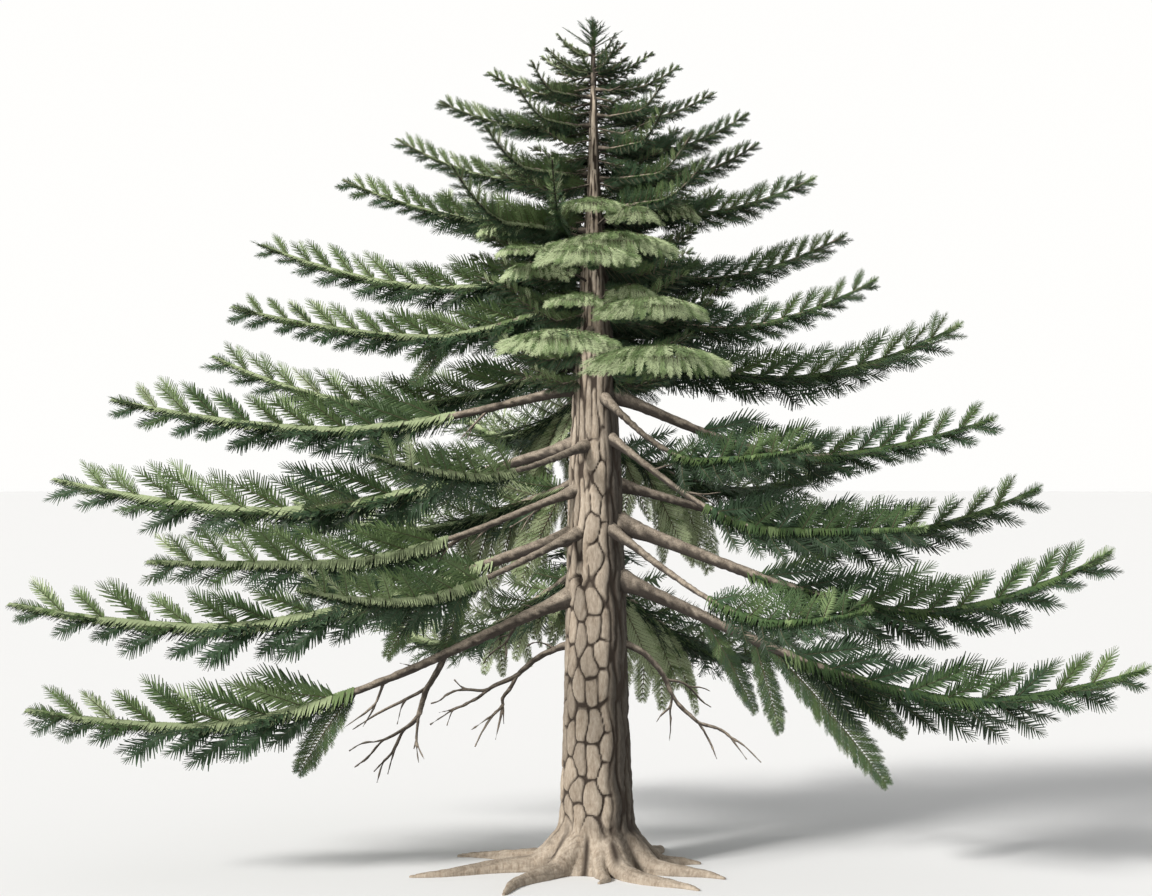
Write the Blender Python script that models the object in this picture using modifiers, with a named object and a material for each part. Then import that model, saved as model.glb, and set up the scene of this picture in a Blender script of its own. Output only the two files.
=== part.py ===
"""An old open-grown Douglas fir, 15 m tall, on the flat cut at the foot of its trunk.

Metres, +Z up. The origin is the middle of the cut under the trunk. Azimuths are degrees
from +X, turning towards +Y, and the tree is seen from -Y.
"""

import math
import random
from collections import namedtuple

import bmesh
import bpy
from mathutils import Matrix, Vector
from mathutils.bvhtree import BVHTree

SEED = 7
GAP = 0.0003
MERGE = 0.000001
TREE_TOP = 15.0
TRUNK_TOP = 13.9
TOP_SHIFT = -0.07
TRUNK_SIDES = 18

# Trunk radius at each height, above the flare
TAPER = (
    (TRUNK_TOP, 0.054),
    (12.6, 0.098),
    (11.8, 0.128),
    (10.7, 0.235),
    (9.6, 0.305),
    (8.6, 0.375),
    (7.4, 0.435),
    (4.7, 0.52),
    (3.2, 0.55),
    (1.7, 0.6),
)
FLARE_FOOT = 0.63
FLARE_SWELL = 0.3
FLARE_FADE = 0.45
FLARE_HEIGHTS = (1.0, 0.62, 0.34, 0.14, 0.0)

# Surface roots: azimuth, reach from the axis, half thickness beside the flare
ROOTS = (
    (198, 3.4, 0.27),
    (239, 3.2, 0.24),
    (272, 1.7, 0.19),
    (305, 2.9, 0.25),
    (331, 2.5, 0.28),
    (12, 1.9, 0.27),
    (62, 2.6, 0.27),
    (112, 2.3, 0.25),
    (155, 2.8, 0.26),
)
ROOT_RISE = 0.72
ROOT_KNEE = 1.15
ROOT_START = 0.3
ROOT_POINTS = 6

# A living bough: where it leaves the trunk, how far it goes, how much it sinks and how
# much its end rises again, its radius at the foot, the share of it that is bare, the
# turn of each arm that forks off it, and whether its sprays make an arm or a drooping pad
Bough = namedtuple("Bough", "name azimuth foot reach drop lift girth bare forks kind")
BOUGHS = (
    Bough("tier1_left", 194, 4.92, 9.75, 2.25, 0.35, 0.125, 0.43, (), "arm"),
    Bough("tier1_right", 346, 5.22, 9.40, 2.15, 0.60, 0.140, 0.34, (), "arm"),
    Bough("tier1_back_left", 122, 5.30, 7.80, 1.70, 0.40, 0.120, 0.0, (), "arm"),
    Bough("tier1_back_right", 58, 5.05, 8.00, 1.70, 0.45, 0.120, 0.0, (), "arm"),
    Bough("tier2_left", 189, 5.96, 10.0, 1.65, 0.42, 0.120, 0.17, (), "arm"),
    Bough("tier2_right", 343, 6.18, 8.85, 1.60, 1.05, 0.145, 0.29, (), "arm"),
    Bough("tier2_front_left", 230, 6.02, 7.20, 1.10, 0.30, 0.085, 0.38, (), "arm"),
    Bough("tier2_front_right", 308, 6.12, 6.80, 1.55, 0.30, 0.085, 0.42, (), "arm"),
    Bough("tier2_back", 92, 6.15, 7.60, 1.20, 0.50, 0.110, 0.0, (), "arm"),
    Bough("tier3_left", 212, 6.75, 8.35, 1.25, 0.10, 0.080, 0.35, (), "arm"),
    Bough("tier3_right", 12, 6.84, 8.25, 1.05, 0.85, 0.095, 0.25, (), "arm"),
    Bough("tier3_back", 140, 6.85, 7.60, 1.00, 0.50, 0.100, 0.0, (), "arm"),
    Bough("tier4_left", 174, 7.52, 9.70, 1.25, 0.55, 0.110, 0.19, (), "arm"),
    Bough("tier4_front_left", 238, 7.50, 6.60, 0.55, 0.35, 0.080, 0.42, (), "arm"),
    Bough("tier4_front_right", 318, 7.74, 6.90, 1.70, 0.10, 0.075, 0.36, (), "arm"),
    Bough("tier4_back", 48, 7.50, 7.40, 0.90, 0.55, 0.100, 0.0, (), "arm"),
    Bough("tier5_left", 182, 8.52, 8.40, 0.80, 0.52, 0.097, 0.28, (), "arm"),
    Bough("tier5_right", 354, 8.45, 6.90, 1.20, 0.65, 0.115, 0.24, (), "arm"),
    Bough("tier5_front_right", 302, 8.40, 6.20, 1.20, 0.20, 0.075, 0.40, (), "arm"),
    Bough("tier5_back", 112, 8.40, 7.00, 0.80, 0.50, 0.095, 0.0, (), "arm"),
    Bough("tier6_left", 165, 8.95, 7.20, 0.80, 0.92, 0.080, 0.0, (), "arm"),
    Bough("tier6_right", 14, 9.14, 6.85, 0.50, 1.00, 0.080, 0.0, (), "arm"),
    Bough("tier6_front_left", 260, 9.55, 3.90, 0.45, 0.0, 0.055, 0.0, (), "pad"),
    Bough("tier6_front_right", 284, 9.32, 4.60, 0.55, 0.0, 0.060, 0.0, (), "pad"),
    Bough("tier6_back", 76, 9.20, 6.20, 0.55, 0.60, 0.080, 0.0, (), "arm"),
    Bough("tier7_left", 186, 10.1, 6.30, 0.75, 0.50, 0.070, 0.0, (), "arm"),
    Bough("tier7_right", 350, 9.85, 4.90, 0.35, 0.80, 0.070, 0.0, (), "arm"),
    Bough("tier7_front", 286, 10.1, 3.70, 0.45, 0.0, 0.050, 0.0, (-26,), "pad"),
    Bough("tier7_back", 118, 9.95, 5.40, 0.45, 0.60, 0.070, 0.0, (), "arm"),
    Bough("tier8_left", 172, 10.5, 6.00, 0.25, 0.80, 0.065, 0.0, (), "arm"),
    Bough("tier8_right", 8, 10.6, 4.50, 0.20, 0.80, 0.060, 0.0, (), "arm"),
    Bough("tier8_front", 267, 10.9, 3.30, 0.35, 0.0, 0.050, 0.0, (-30,), "pad"),
    Bough("tier8_back", 64, 10.6, 4.60, 0.25, 0.65, 0.060, 0.0, (), "arm"),
    Bough("tier9_left", 188, 11.2, 4.40, -0.2, 0.67, 0.050, 0.0, (-48, 45, 78), "arm"),
    Bough("tier9_right", 352, 11.7, 3.85, 0.20, 0.60, 0.048, 0.0, (52, -52), "arm"),
    Bough("tier10_left", 176, 12.25, 3.45, 0.08, 0.70, 0.040, 0.0, (-55, 58), "arm"),
    Bough("tier10_right", 6, 12.15, 2.90, 0.00, 0.65, 0.038, 0.0, (55, -58), "arm"),
    Bough("tier11_left", 186, 13.1, 2.68, 0.05, 0.42, 0.032, 0.0, (-55, 55), "arm"),
    Bough("tier11_right", 354, 12.7, 2.68, 0.05, 0.60, 0.032, 0.0, (55, -58), "arm"),
    Bough("tier12_left", 178, 13.6, 1.86, -0.05, 0.40, 0.026, 0.0, (-58, 58), "arm"),
    Bough("tier12_right", 4, 13.28, 2.10, 0.05, 0.45, 0.026, 0.0, (58, -60), "arm"),
    Bough("tier13_right", 350, 13.72, 1.50, 0.0, 0.38, 0.022, 0.0, (), "arm"),
)
LOW_SHARE = 0.75
LOW_CLIMB = 0.05
LOW_LEAST = 0.45
SINK_POWER = 1.2
RISE_POWER = 1.8
SWAY = 0.03
TWIG_TIP = 0.013
COLLAR_SWELL = 0.7
COLLAR_FADE = 0.25
FOOT_INSIDE = 0.25
LIMB_STEP = 0.75
STEM_STEP = 1.5
JOINT_RUN = 0.15
FORK_SHARE = 0.75
FORK_CLEAR = 0.12
FORK_APART = 0.09
FORK_RISE = 0.06
FORK_SLIM = 0.6

# Sprays of needles: share of the bough's reach, spacing along it, roll about the stem
SPRAY_SHARE = 0.145
SPRAY_LEAST = 0.40
STATION_SHARE = 0.15
SMALL_STATION_SHARE = 0.19
SMALL_REACH = 5.0
FOLIAGE_START = 0.16
LAST_SPRAY = 0.97
SPRAY_OPEN = 50
SPRAY_WIDTH = 0.21
SPRAY_DEPTH = 0.055
UP_ROLL = 56
DOWN_ROLL = -52
SIDE_ROLL = -8
SIDE_STRETCH = 1.35
SIDE_REACH = 7.7
END_SPRAY = 1.15
END_OPEN = 6
PAD_SPRAY = 0.3
PAD_ROLL = -16
PAD_STRETCH = 1.0
SHRINK = 0.72
TRIES = 3
SPACE_MARGIN = 1.06

# Outline of a spray on one side of its rib: share along it, share of its half width
BROAD_TEETH = ((0.34, 1.0), (0.47, 0.5), (0.72, 0.72))
PLAIN_TEETH = ((0.36, 1.0), (0.52, 0.5))
LONG_TEETH = ((0.18, 0.8), (0.27, 0.4), (0.43, 1.0), (0.52, 0.4), (0.7, 0.8), (0.78, 0.3))
RIB_PEAK = 0.44
BROAD_REACH = 8.0

# Shoots of the leader: height, how many, length, rise, first azimuth
LEADER_WHORLS = (
    (14.02, 5, 1.15, 0.34, 3),
    (14.30, 4, 0.80, 0.42, 36),
    (14.54, 3, 0.50, 0.60, 0),
    (14.76, 3, 0.30, 0.95, 20),
)
LEADER_RADIUS = 0.045

# Dead branches on the lower trunk and dead twigs on the boughs: an arm's start share on
# its parent, turn sideways and down in degrees, and length
DeadLimb = namedtuple("DeadLimb", "name azimuth foot length sink radius arms")
DEAD_LIMBS = (
    DeadLimb("dead_limb_left", 190, 3.92, 1.75, 0.75, 0.055, (
        (0.72, 30, 8, 1.35),
        (0.86, -28, 48, 1.25),
        (0.30, -30, -22, 0.6),
        (0.95, 8, 60, 0.8),
    )),
    DeadLimb("dead_limb_right", 352, 3.95, 2.75, 1.95, 0.055, (
        (0.50, -25, 55, 1.0),
        (0.62, 32, 35, 0.75),
        (0.44, 40, -4, 0.95),
        (0.84, -20, 25, 0.7),
    )),
)
DEAD_TWIG = 0.016
DEAD_KINK = 0.16
DEAD_STEP = 0.5
DEAD_BOUGH_TWIGS = {
    "tier1_left": ((0.62, 20, 55, 1.9), (0.64, -30, 78, 1.5), (0.30, 25, 48, 1.0)),
    "tier3_left": ((0.40, -22, 28, 1.2), (0.62, 20, 30, 1.2)),
    "tier5_left": ((0.78, 15, 45, 0.75),),
    "tier4_front_right": ((0.55, 30, -20, 0.6), (0.80, 35, -15, 0.6)),
}

BARK = ("bark", (0.30, 0.25, 0.21, 1.0), 0.95)
LIMB_BARK = ("limb_bark", (0.23, 0.19, 0.16, 1.0), 0.95)
NEEDLES = ("needles", (0.07, 0.13, 0.06, 1.0), 0.7)


def clear_scene():
    for thing in list(bpy.data.objects):
        bpy.data.objects.remove(thing, do_unlink=True)


def make_collection(name):
    group = bpy.data.collections.new(name)
    bpy.context.scene.collection.children.link(group)
    return group


def material(spec):
    name, colour, roughness = spec
    made = bpy.data.materials.get(name)
    if made is None:
        made = bpy.data.materials.new(name)
        made.use_nodes = True
        shader = made.node_tree.nodes["Principled BSDF"]
        shader.inputs["Base Color"].default_value = colour
        shader.inputs["Roughness"].default_value = roughness
        shader.inputs["Metallic"].default_value = 0.0
    return made


def place(mesh, name, group, spec=None):
    thing = bpy.data.objects.new(name, mesh)
    group.objects.link(thing)
    if spec:
        mesh.materials.clear()
        mesh.materials.append(material(spec))
    return thing


def settled_mesh(thing):
    """The object's evaluated mesh, in world space, with its doubles merged."""
    bpy.context.view_layer.update()
    graph = bpy.context.evaluated_depsgraph_get()
    mesh = bpy.data.meshes.new_from_object(thing.evaluated_get(graph))
    mesh.transform(thing.matrix_world)
    form = bmesh.new()
    form.from_mesh(mesh)
    bmesh.ops.remove_doubles(form, verts=form.verts, dist=MERGE)
    form.to_mesh(mesh)
    form.free()
    return mesh


def settle(thing, name, group, spec=None):
    """Swap a curve or an object with modifiers for a plain mesh object."""
    mesh = settled_mesh(thing)
    bpy.data.objects.remove(thing, do_unlink=True)
    return place(mesh, name, group, spec)


def tube(name, points, radii, sides, group):
    """A closed tapering tube through the points."""
    curve = bpy.data.curves.new(name, "CURVE")
    curve.dimensions = "3D"
    curve.bevel_depth = 1.0
    curve.bevel_resolution = (sides - 4) // 2
    curve.use_fill_caps = True
    line = curve.splines.new("POLY")
    line.points.add(len(points) - 1)
    for spot, point, radius in zip(line.points, points, radii):
        spot.co = (*point, 1.0)
        spot.radius = radius
    thing = bpy.data.objects.new(name, curve)
    group.objects.link(thing)
    return settle(thing, name, group)


def boolean(target, operation, other, solver="EXACT"):
    """Add a Boolean with one object, or with every object of a collection."""
    step = target.modifiers.new(operation.lower(), "BOOLEAN")
    step.operation = operation
    step.solver = solver
    if isinstance(other, bpy.types.Collection):
        step.operand_type = "COLLECTION"
        step.collection = other
    else:
        step.object = other
    return step


def is_sound(mesh):
    """True where a mesh is one closed body."""
    form = bmesh.new()
    form.from_mesh(mesh)
    bmesh.ops.triangulate(form, faces=form.faces)
    closed = all(len(edge.link_faces) == 2 for edge in form.edges)
    whole = closed and len(form.faces) > 0 and shell_count(form) == 1
    form.free()
    return whole


def shell_count(form):
    """How many bodies a form has, counted across its edges."""
    unseen = set(form.faces)
    count = 0
    while unseen:
        queue = [unseen.pop()]
        count += 1
        while queue:
            for edge in queue.pop().edges:
                for face in edge.link_faces:
                    if face in unseen:
                        unseen.discard(face)
                        queue.append(face)
    return count


def empty_collection(pieces):
    for piece in list(pieces.objects):
        bpy.data.objects.remove(piece, do_unlink=True)
    bpy.data.collections.remove(pieces)


def fuse(target, pieces, name, group, spec):
    """One union of the target with a collection of pieces, by the solver that closes it.

    Where neither does, the piece that was added last is left out.
    """
    while True:
        for solver in ("EXACT", "MANIFOLD"):
            step = boolean(target, "UNION", pieces, solver)
            mesh = settled_mesh(target)
            drop_scraps(mesh)
            target.modifiers.remove(step)
            if is_sound(mesh):
                bpy.data.objects.remove(target, do_unlink=True)
                empty_collection(pieces)
                return place(mesh, name, group, spec)
        bpy.data.objects.remove(pieces.objects[-1], do_unlink=True)


def drop_scraps(mesh):
    """Keep only the largest closed shell of a mesh."""
    form = bmesh.new()
    form.from_mesh(mesh)
    unseen = set(form.verts)
    shells = []
    while unseen:
        queue = [unseen.pop()]
        shell = set(queue)
        while queue:
            for edge in queue.pop().link_edges:
                for vertex in edge.verts:
                    if vertex in unseen:
                        unseen.discard(vertex)
                        shell.add(vertex)
                        queue.append(vertex)
        shells.append(shell)
    shells.sort(key=len)
    scraps = [vertex for shell in shells[:-1] for vertex in shell]
    if scraps:
        bmesh.ops.delete(form, geom=scraps, context="VERTS")
    form.to_mesh(mesh)
    form.free()


def level_direction(azimuth):
    turn = math.radians(azimuth)
    return Vector((math.cos(turn), math.sin(turn), 0.0))


def trunk_radius(height):
    """Radius of the round trunk, with its flare, at a height."""
    if height < TAPER[-1][0]:
        straight = TAPER[-1][1] + (FLARE_FOOT - TAPER[-1][1]) * (1 - height / TAPER[-1][0])
        return straight + FLARE_SWELL * math.exp(-height / FLARE_FADE)
    for (high, thin), (low, thick) in zip(TAPER, TAPER[1:]):
        if height >= low:
            share = (height - low) / (high - low)
            return thick + (thin - thick) * min(1.0, share)
    return TAPER[-1][1]


def trunk_axis(height):
    return Vector((TOP_SHIFT * height / TREE_TOP, 0.0, height))


def turned_trunk(name, extra, group):
    """The trunk without its roots, fatter all round by extra."""
    heights = [height for height, _ in TAPER] + list(FLARE_HEIGHTS)
    outline = [(0.0, TRUNK_TOP + extra)]
    outline += [(trunk_radius(height) + extra, height) for height in heights[:-1]]
    outline[1] = (outline[1][0], TRUNK_TOP + extra)
    outline += [(trunk_radius(0.0) + extra, -extra), (0.0, -extra)]
    mesh = bpy.data.meshes.new(name)
    corners = [(radius, 0.0, height) for radius, height in outline]
    edges = [(index, index + 1) for index in range(len(corners) - 1)]
    mesh.from_pydata(corners, edges, [])
    thing = place(mesh, name, group)
    turn = thing.modifiers.new("turn", "SCREW")
    turn.steps = TRUNK_SIDES
    turn.render_steps = TRUNK_SIDES
    turn.use_merge_vertices = True
    turn.merge_threshold = 0.0001
    thing = settle(thing, name, group)
    for vertex in thing.data.vertices:
        vertex.co.x += TOP_SHIFT * vertex.co.z / TREE_TOP
    return thing


def root_points(azimuth, reach, half, chance):
    """Middle line and radii of a surface root that runs down the flare and along the ground."""
    sideways = level_direction(azimuth + 90)
    bend = chance.uniform(-0.10, 0.10) * reach
    points = []
    radii = []
    for index in range(ROOT_POINTS):
        share = index / (ROOT_POINTS - 1)
        out = ROOT_START + (reach - ROOT_START) * share ** 1.25
        rise = ROOT_RISE * max(0.0, (ROOT_KNEE - out) / (ROOT_KNEE - ROOT_START)) ** 1.4
        radius = half * (1.0 - share) ** 0.8 + 0.03
        spot = level_direction(azimuth) * out + sideways * bend * math.sin(math.pi * share)
        points.append(spot + Vector((0, 0, rise + 0.25 * radius)))
        radii.append(radius)
    return points, radii


def ground_block(group):
    form = bmesh.new()
    bmesh.ops.create_cube(form, size=1.0, matrix=Matrix.Diagonal((12, 12, 2, 1)))
    bmesh.ops.translate(form, verts=form.verts, vec=(0, 0, -1))
    mesh = bpy.data.meshes.new("ground")
    form.to_mesh(mesh)
    form.free()
    return as_cutter(place(mesh, "ground_cutter", group))


def as_cutter(thing):
    thing.hide_render = True
    thing.display_type = "WIRE"
    return thing


def make_trunk(tree, cutters):
    """The trunk with its surface roots, cut flat at the ground."""
    chance = random.Random(SEED)
    trunk = turned_trunk("turned", 0.0, cutters)
    pieces = make_collection("roots")
    for number, (azimuth, reach, half) in enumerate(ROOTS):
        points, radii = root_points(azimuth, reach, half, chance)
        tube(f"root{number}", points, radii, 6, pieces)
    trunk = fuse(trunk, pieces, "rooted", cutters, None)
    block = ground_block(cutters)
    boolean(trunk, "DIFFERENCE", block)
    whole = settle(trunk, "trunk", tree, BARK)
    drop_scraps(whole.data)
    bpy.data.objects.remove(block, do_unlink=True)
    return whole


class Line:
    """The middle line of a bough, or of an arm that forks off it."""

    def __init__(self, start, azimuth, reach, drop, lift, low, girth, sway):
        self.start = start
        self.heading = level_direction(azimuth)
        self.sideways = level_direction(azimuth + 90)
        self.reach = reach
        self.drop = drop
        self.lift = lift
        self.low = low
        self.girth = girth
        self.sway = sway
        self.knots = []

    def point(self, share):
        sink = math.sin(math.pi / 2 * min(1.0, share / self.low)) ** SINK_POWER
        turn = 0.9 * self.low
        rise = max(0.0, (share - turn) / (1.0 - turn)) ** RISE_POWER
        spot = self.start + self.heading * (self.reach * share)
        spot += self.sideways * (self.sway * math.sin(math.pi * share))
        spot.z += self.lift * rise - self.drop * sink
        return spot

    def tangent(self, share):
        step = 0.01
        low = max(0.0, share - step)
        high = min(1.0, share + step)
        return (self.point(high) - self.point(low)).normalized()

    def radius(self, share):
        return TWIG_TIP + (self.girth - TWIG_TIP) * max(0.0, 1.0 - share) ** 1.5

    def run(self, first, last, step):
        """Points and radii of a stem along part of the line, kept as its knots."""
        shares = shares_between(first, last, step / self.reach)
        points = [self.point(share) for share in shares]
        self.knots = list(zip(shares, points))
        return points, [self.radius(share) for share in shares]

    def on_stem(self, share):
        """The middle of the straight-sided stem at a share of the line."""
        for (low, start), (high, end) in zip(self.knots, self.knots[1:]):
            if share <= high:
                return start.lerp(end, (share - low) / (high - low))
        return self.knots[-1][1].copy()

    def frame(self, share):
        """Along, level sideways and upward directions at a share of the line."""
        along = self.tangent(share)
        side = along.cross(Vector((0, 0, 1))).normalized()
        return along, side, side.cross(along).normalized()


def bough_line(bough):
    chance = random.Random(f"{SEED} {bough.name}")
    low = max(LOW_LEAST, LOW_SHARE - LOW_CLIMB * (bough.foot - 5.0))
    sway = chance.uniform(-SWAY, SWAY) * bough.reach
    return Line(
        trunk_axis(bough.foot), bough.azimuth, bough.reach, bough.drop, bough.lift,
        low, bough.girth, sway,
    )


def shares_between(first, last, step):
    count = max(2, round((last - first) / step) + 1)
    return [first + (last - first) * index / (count - 1) for index in range(count)]


def foot_share(foot, reach):
    """Share of a limb's line at which it starts, inside the trunk."""
    return FOOT_INSIDE * trunk_radius(foot) / reach


def joint_direction(bough, line):
    """The way the stem of a mass sets off from the end of its limb."""
    shares = shares_between(bough.bare, 1.0, STEM_STEP / bough.reach)
    return (line.point(shares[1]) - line.point(shares[0])).normalized()


def limb_tube(bough, line, group):
    """The bare inner part of a bough, swollen where it leaves the trunk."""
    first = foot_share(bough.foot, bough.reach)
    shares = shares_between(first, bough.bare, LIMB_STEP / bough.reach)
    points = [line.point(share) for share in shares]
    edge = trunk_radius(bough.foot)
    radii = []
    for share in shares:
        past = max(0.0, share * bough.reach - edge)
        swell = 1.0 + COLLAR_SWELL * math.exp(-past / COLLAR_FADE)
        radii.append(line.radius(share) * swell)
    points.insert(-1, points[-1] - joint_direction(bough, line) * JOINT_RUN)
    radii.insert(-1, radii[-1])
    return tube(bough.name + "_tube", points, radii, 6, group)


def dead_arm(name, start, heading, length, radius, runs, chance, group):
    """A crooked dead twig that thins to its end."""
    points = [start]
    radii = [radius]
    direction = heading.normalized()
    for index in range(runs):
        kink = Vector((chance.uniform(-1, 1), chance.uniform(-1, 1), chance.uniform(-1, 1)))
        direction = (direction + DEAD_KINK * kink).normalized()
        points.append(points[-1] + direction * (length / runs))
        radii.append(radius * (1 - 0.8 * (index + 1) / runs))
    tube(name, points, radii, 4, group)
    return points


def turned(along, sideways_turn, down_turn):
    """A direction turned about the vertical, then tipped down, both in degrees."""
    side = along.cross(Vector((0, 0, 1))).normalized()
    swung = Matrix.Rotation(math.radians(sideways_turn), 3, "Z") @ along
    return Matrix.Rotation(math.radians(-down_turn), 3, side) @ swung


def add_dead_twigs(name, line, last, arms, thickness, chance, group):
    """Dead twigs on a limb, each with a side twig of its own."""
    for number, (share, turn, down, length) in enumerate(arms):
        spot = line.point(share * last)
        heading = turned(line.tangent(share * last), turn, down)
        label = f"{name}_twig{number}"
        points = dead_arm(label, spot, heading, length, thickness, 3, chance, group)
        side_heading = turned((points[2] - points[1]).normalized(), -turn, 14)
        dead_arm(label + "_side", points[1], side_heading, 0.55 * length,
                 0.7 * thickness, 1, chance, group)


def make_dead_limb(limb, fat_trunk, tree, work):
    """A dead limb with a few dead arms."""
    chance = random.Random(f"{SEED} {limb.name}")
    start = trunk_axis(limb.foot)
    out = trunk_radius(limb.foot) + limb.length
    line = Line(start, limb.azimuth, out, limb.sink, 0.0, 1.0, limb.radius * 1.5, 0.1)
    shares = shares_between(foot_share(limb.foot, out), 1.0, DEAD_STEP / out)
    points = [line.point(share) for share in shares]
    radii = [limb.radius * (1.5 - 1.15 * share) for share in shares]
    main = tube(limb.name + "_tube", points, radii, 6, work)
    pieces = make_collection(limb.name + "_arms")
    add_dead_twigs(limb.name, line, 1.0, limb.arms, DEAD_TWIG * 1.5, chance, pieces)
    main = fuse(main, pieces, limb.name + "_whole", work, None)
    return cut_clear(main, fat_trunk, limb.name, tree)


def make_limb(bough, line, fat_trunk, tree, work):
    """The bare part of a bough, cut clear of the trunk, with its dead twigs."""
    limb = limb_tube(bough, line, work)
    pieces = make_collection(bough.name + "_twigs")
    chance = random.Random(f"{SEED} {bough.name} twigs")
    arms = DEAD_BOUGH_TWIGS.get(bough.name, ())
    add_dead_twigs(bough.name, line, bough.bare, arms, DEAD_TWIG, chance, pieces)
    if arms:
        limb = fuse(limb, pieces, bough.name + "_whole", work, None)
    else:
        empty_collection(pieces)
    return cut_clear(limb, fat_trunk, bough.name + "_bough", tree)


def cut_clear(limb, fat_trunk, name, tree):
    """Cut the foot of a limb to the trunk's round, a hair clear of it."""
    boolean(limb, "DIFFERENCE", fat_trunk)
    whole = settle(limb, name, tree, LIMB_BARK)
    drop_scraps(whole.data)
    return whole


def spray_form(length, width, depth, teeth):
    """Corners and faces of a toothed blade along +X: a fan from its outline to two peaks."""
    upper = [(share * length, part * width, 0.0) for share, part in teeth]
    lower = [(x, -y, 0.0) for x, y, _ in reversed(upper)]
    ring = [(0.0, 0.0, 0.0)] + lower[::-1] + [(length, 0.0, 0.0)] + upper[::-1]
    corners = ring + [(RIB_PEAK * length, 0.0, depth), (RIB_PEAK * length, 0.0, -depth)]
    count = len(ring)
    faces = []
    for index in range(count):
        after = (index + 1) % count
        faces.append((index, after, count))
        faces.append((after, index, count + 1))
    return [Vector(corner) for corner in corners], faces


def spray_place(line, share, roll, opening):
    """Where a spray starts on its stem, and the directions along, across and through it."""
    along, side, up = line.frame(share)
    roll = math.radians(roll)
    opening = math.radians(opening)
    outward = side * math.cos(roll) + up * math.sin(roll)
    run = along * math.cos(opening) + outward * math.sin(opening)
    across = outward * math.cos(opening) - along * math.sin(opening)
    return line.on_stem(share), run, across, run.cross(across)


def blade_mesh(spot, run, across, through, length, width, depth, teeth, margin=1.0):
    corners, faces = spray_form(length * margin, width * margin, depth * margin, teeth)
    placed = [spot + run * c.x + across * c.y + through * c.z for c in corners]
    return placed, faces


class Space:
    """What is already taken, so that each mass keeps to its own space."""

    def __init__(self):
        self.taken = []

    def claim(self, owner, corners, faces):
        low = [min(corner[axis] for corner in corners) for axis in range(3)]
        high = [max(corner[axis] for corner in corners) for axis in range(3)]
        self.taken.append((owner, low, high, BVHTree.FromPolygons(corners, faces)))

    def claim_object(self, owner, thing):
        corners = [vertex.co.copy() for vertex in thing.data.vertices]
        faces = [tuple(face.vertices) for face in thing.data.polygons]
        self.claim(owner, corners, faces)

    def is_free(self, owner, corners, faces):
        low = [min(corner[axis] for corner in corners) for axis in range(3)]
        high = [max(corner[axis] for corner in corners) for axis in range(3)]
        tree = None
        for other, other_low, other_high, other_tree in self.taken:
            if other == owner:
                continue
            apart = any(
                low[axis] > other_high[axis] or high[axis] < other_low[axis]
                for axis in range(3)
            )
            if apart:
                continue
            tree = tree or BVHTree.FromPolygons(corners, faces)
            if tree.overlap(other_tree):
                return False
        return True


def try_spray(owner, place_of, length, teeth, space, group, slim=1.0):
    """Add a spray, shorter if it would touch a neighbour, or leave it out."""
    spot, run, across, through = place_of
    for _ in range(TRIES):
        width = slim * SPRAY_WIDTH * length
        depth = slim * SPRAY_DEPTH * length
        if spot.z + run.z * length > 0.2:
            corners, faces = blade_mesh(
                spot, run, across, through, length, width, depth, teeth, SPACE_MARGIN
            )
            if space.is_free(owner, corners, faces):
                break
        length *= SHRINK
    else:
        return False
    corners, faces = blade_mesh(spot, run, across, through, length, width, depth, teeth)
    mesh = bpy.data.meshes.new("spray")
    mesh.from_pydata(corners, [], faces)
    place(mesh, "spray", group)
    space.claim(owner, corners, faces)
    return True


def fork_place(bough, line, number, turn):
    """Where an arm leaves the bough, just outside the trunk, and how it lies."""
    clear = FORK_CLEAR + FORK_APART * number
    share = (trunk_radius(bough.foot) + clear) / bough.reach
    rise = FORK_RISE + (bough.lift - bough.drop) / bough.reach
    run = (level_direction(bough.azimuth + turn) + Vector((0, 0, rise))).normalized()
    across = run.cross(Vector((0, 0, 1))).normalized()
    return line.on_stem(share), run, across, run.cross(across)


def spray_size(bough, along):
    """Length of the sprays at a share of the foliage: longest near the middle."""
    full = bough.reach * (PAD_SPRAY if bough.kind == "pad" else SPRAY_SHARE)
    full = max(full, SPRAY_LEAST)
    return full * (0.8 + 0.2 * min(1.0, along / 0.3)) * (1.0 - 0.5 * along ** 2)


def spray_rolls(bough, number):
    """Roll and stretch of the sprays that leave one station of a stem."""
    flip = number % 2 == 0
    if bough.kind == "pad":
        return ((PAD_ROLL, PAD_STRETCH), (180 - PAD_ROLL, PAD_STRETCH))
    rolls = [
        (UP_ROLL if flip else 180 - UP_ROLL, 1.0),
        (180 - DOWN_ROLL if flip else DOWN_ROLL, 1.0),
    ]
    if bough.reach > SIDE_REACH and number % 2:
        rolls.append((SIDE_ROLL, SIDE_STRETCH))
        rolls.append((180 - SIDE_ROLL, SIDE_STRETCH))
    return rolls


def dress_line(owner, bough, line, first, teeth, chance, space, group):
    """Sprays at even stations along a stem, and one at its tip."""
    step = STATION_SHARE if bough.reach > SMALL_REACH else SMALL_STATION_SHARE
    count = max(3, round((LAST_SPRAY - 0.01 - first) / step))
    for number in range(count):
        along = (number + 0.5) / count
        share = first + (LAST_SPRAY - first) * along
        for roll, stretch in spray_rolls(bough, number):
            length = spray_size(bough, along) * stretch * chance.uniform(0.88, 1.12)
            where = share + chance.uniform(-0.2, 0.2) * step
            opening = SPRAY_OPEN + chance.uniform(-7, 7)
            where = min(where, LAST_SPRAY)
            spot = spray_place(line, where, roll + chance.uniform(-9, 9), opening)
            try_spray(owner, spot, length, teeth, space, group)
    end_length = END_SPRAY * spray_size(bough, 1.0)
    end_share = 1.0 - 0.6 * end_length / line.reach
    spot = spray_place(line, end_share, chance.uniform(0, 40), END_OPEN)
    try_spray(owner, spot, end_length, teeth, space, group)


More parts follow.
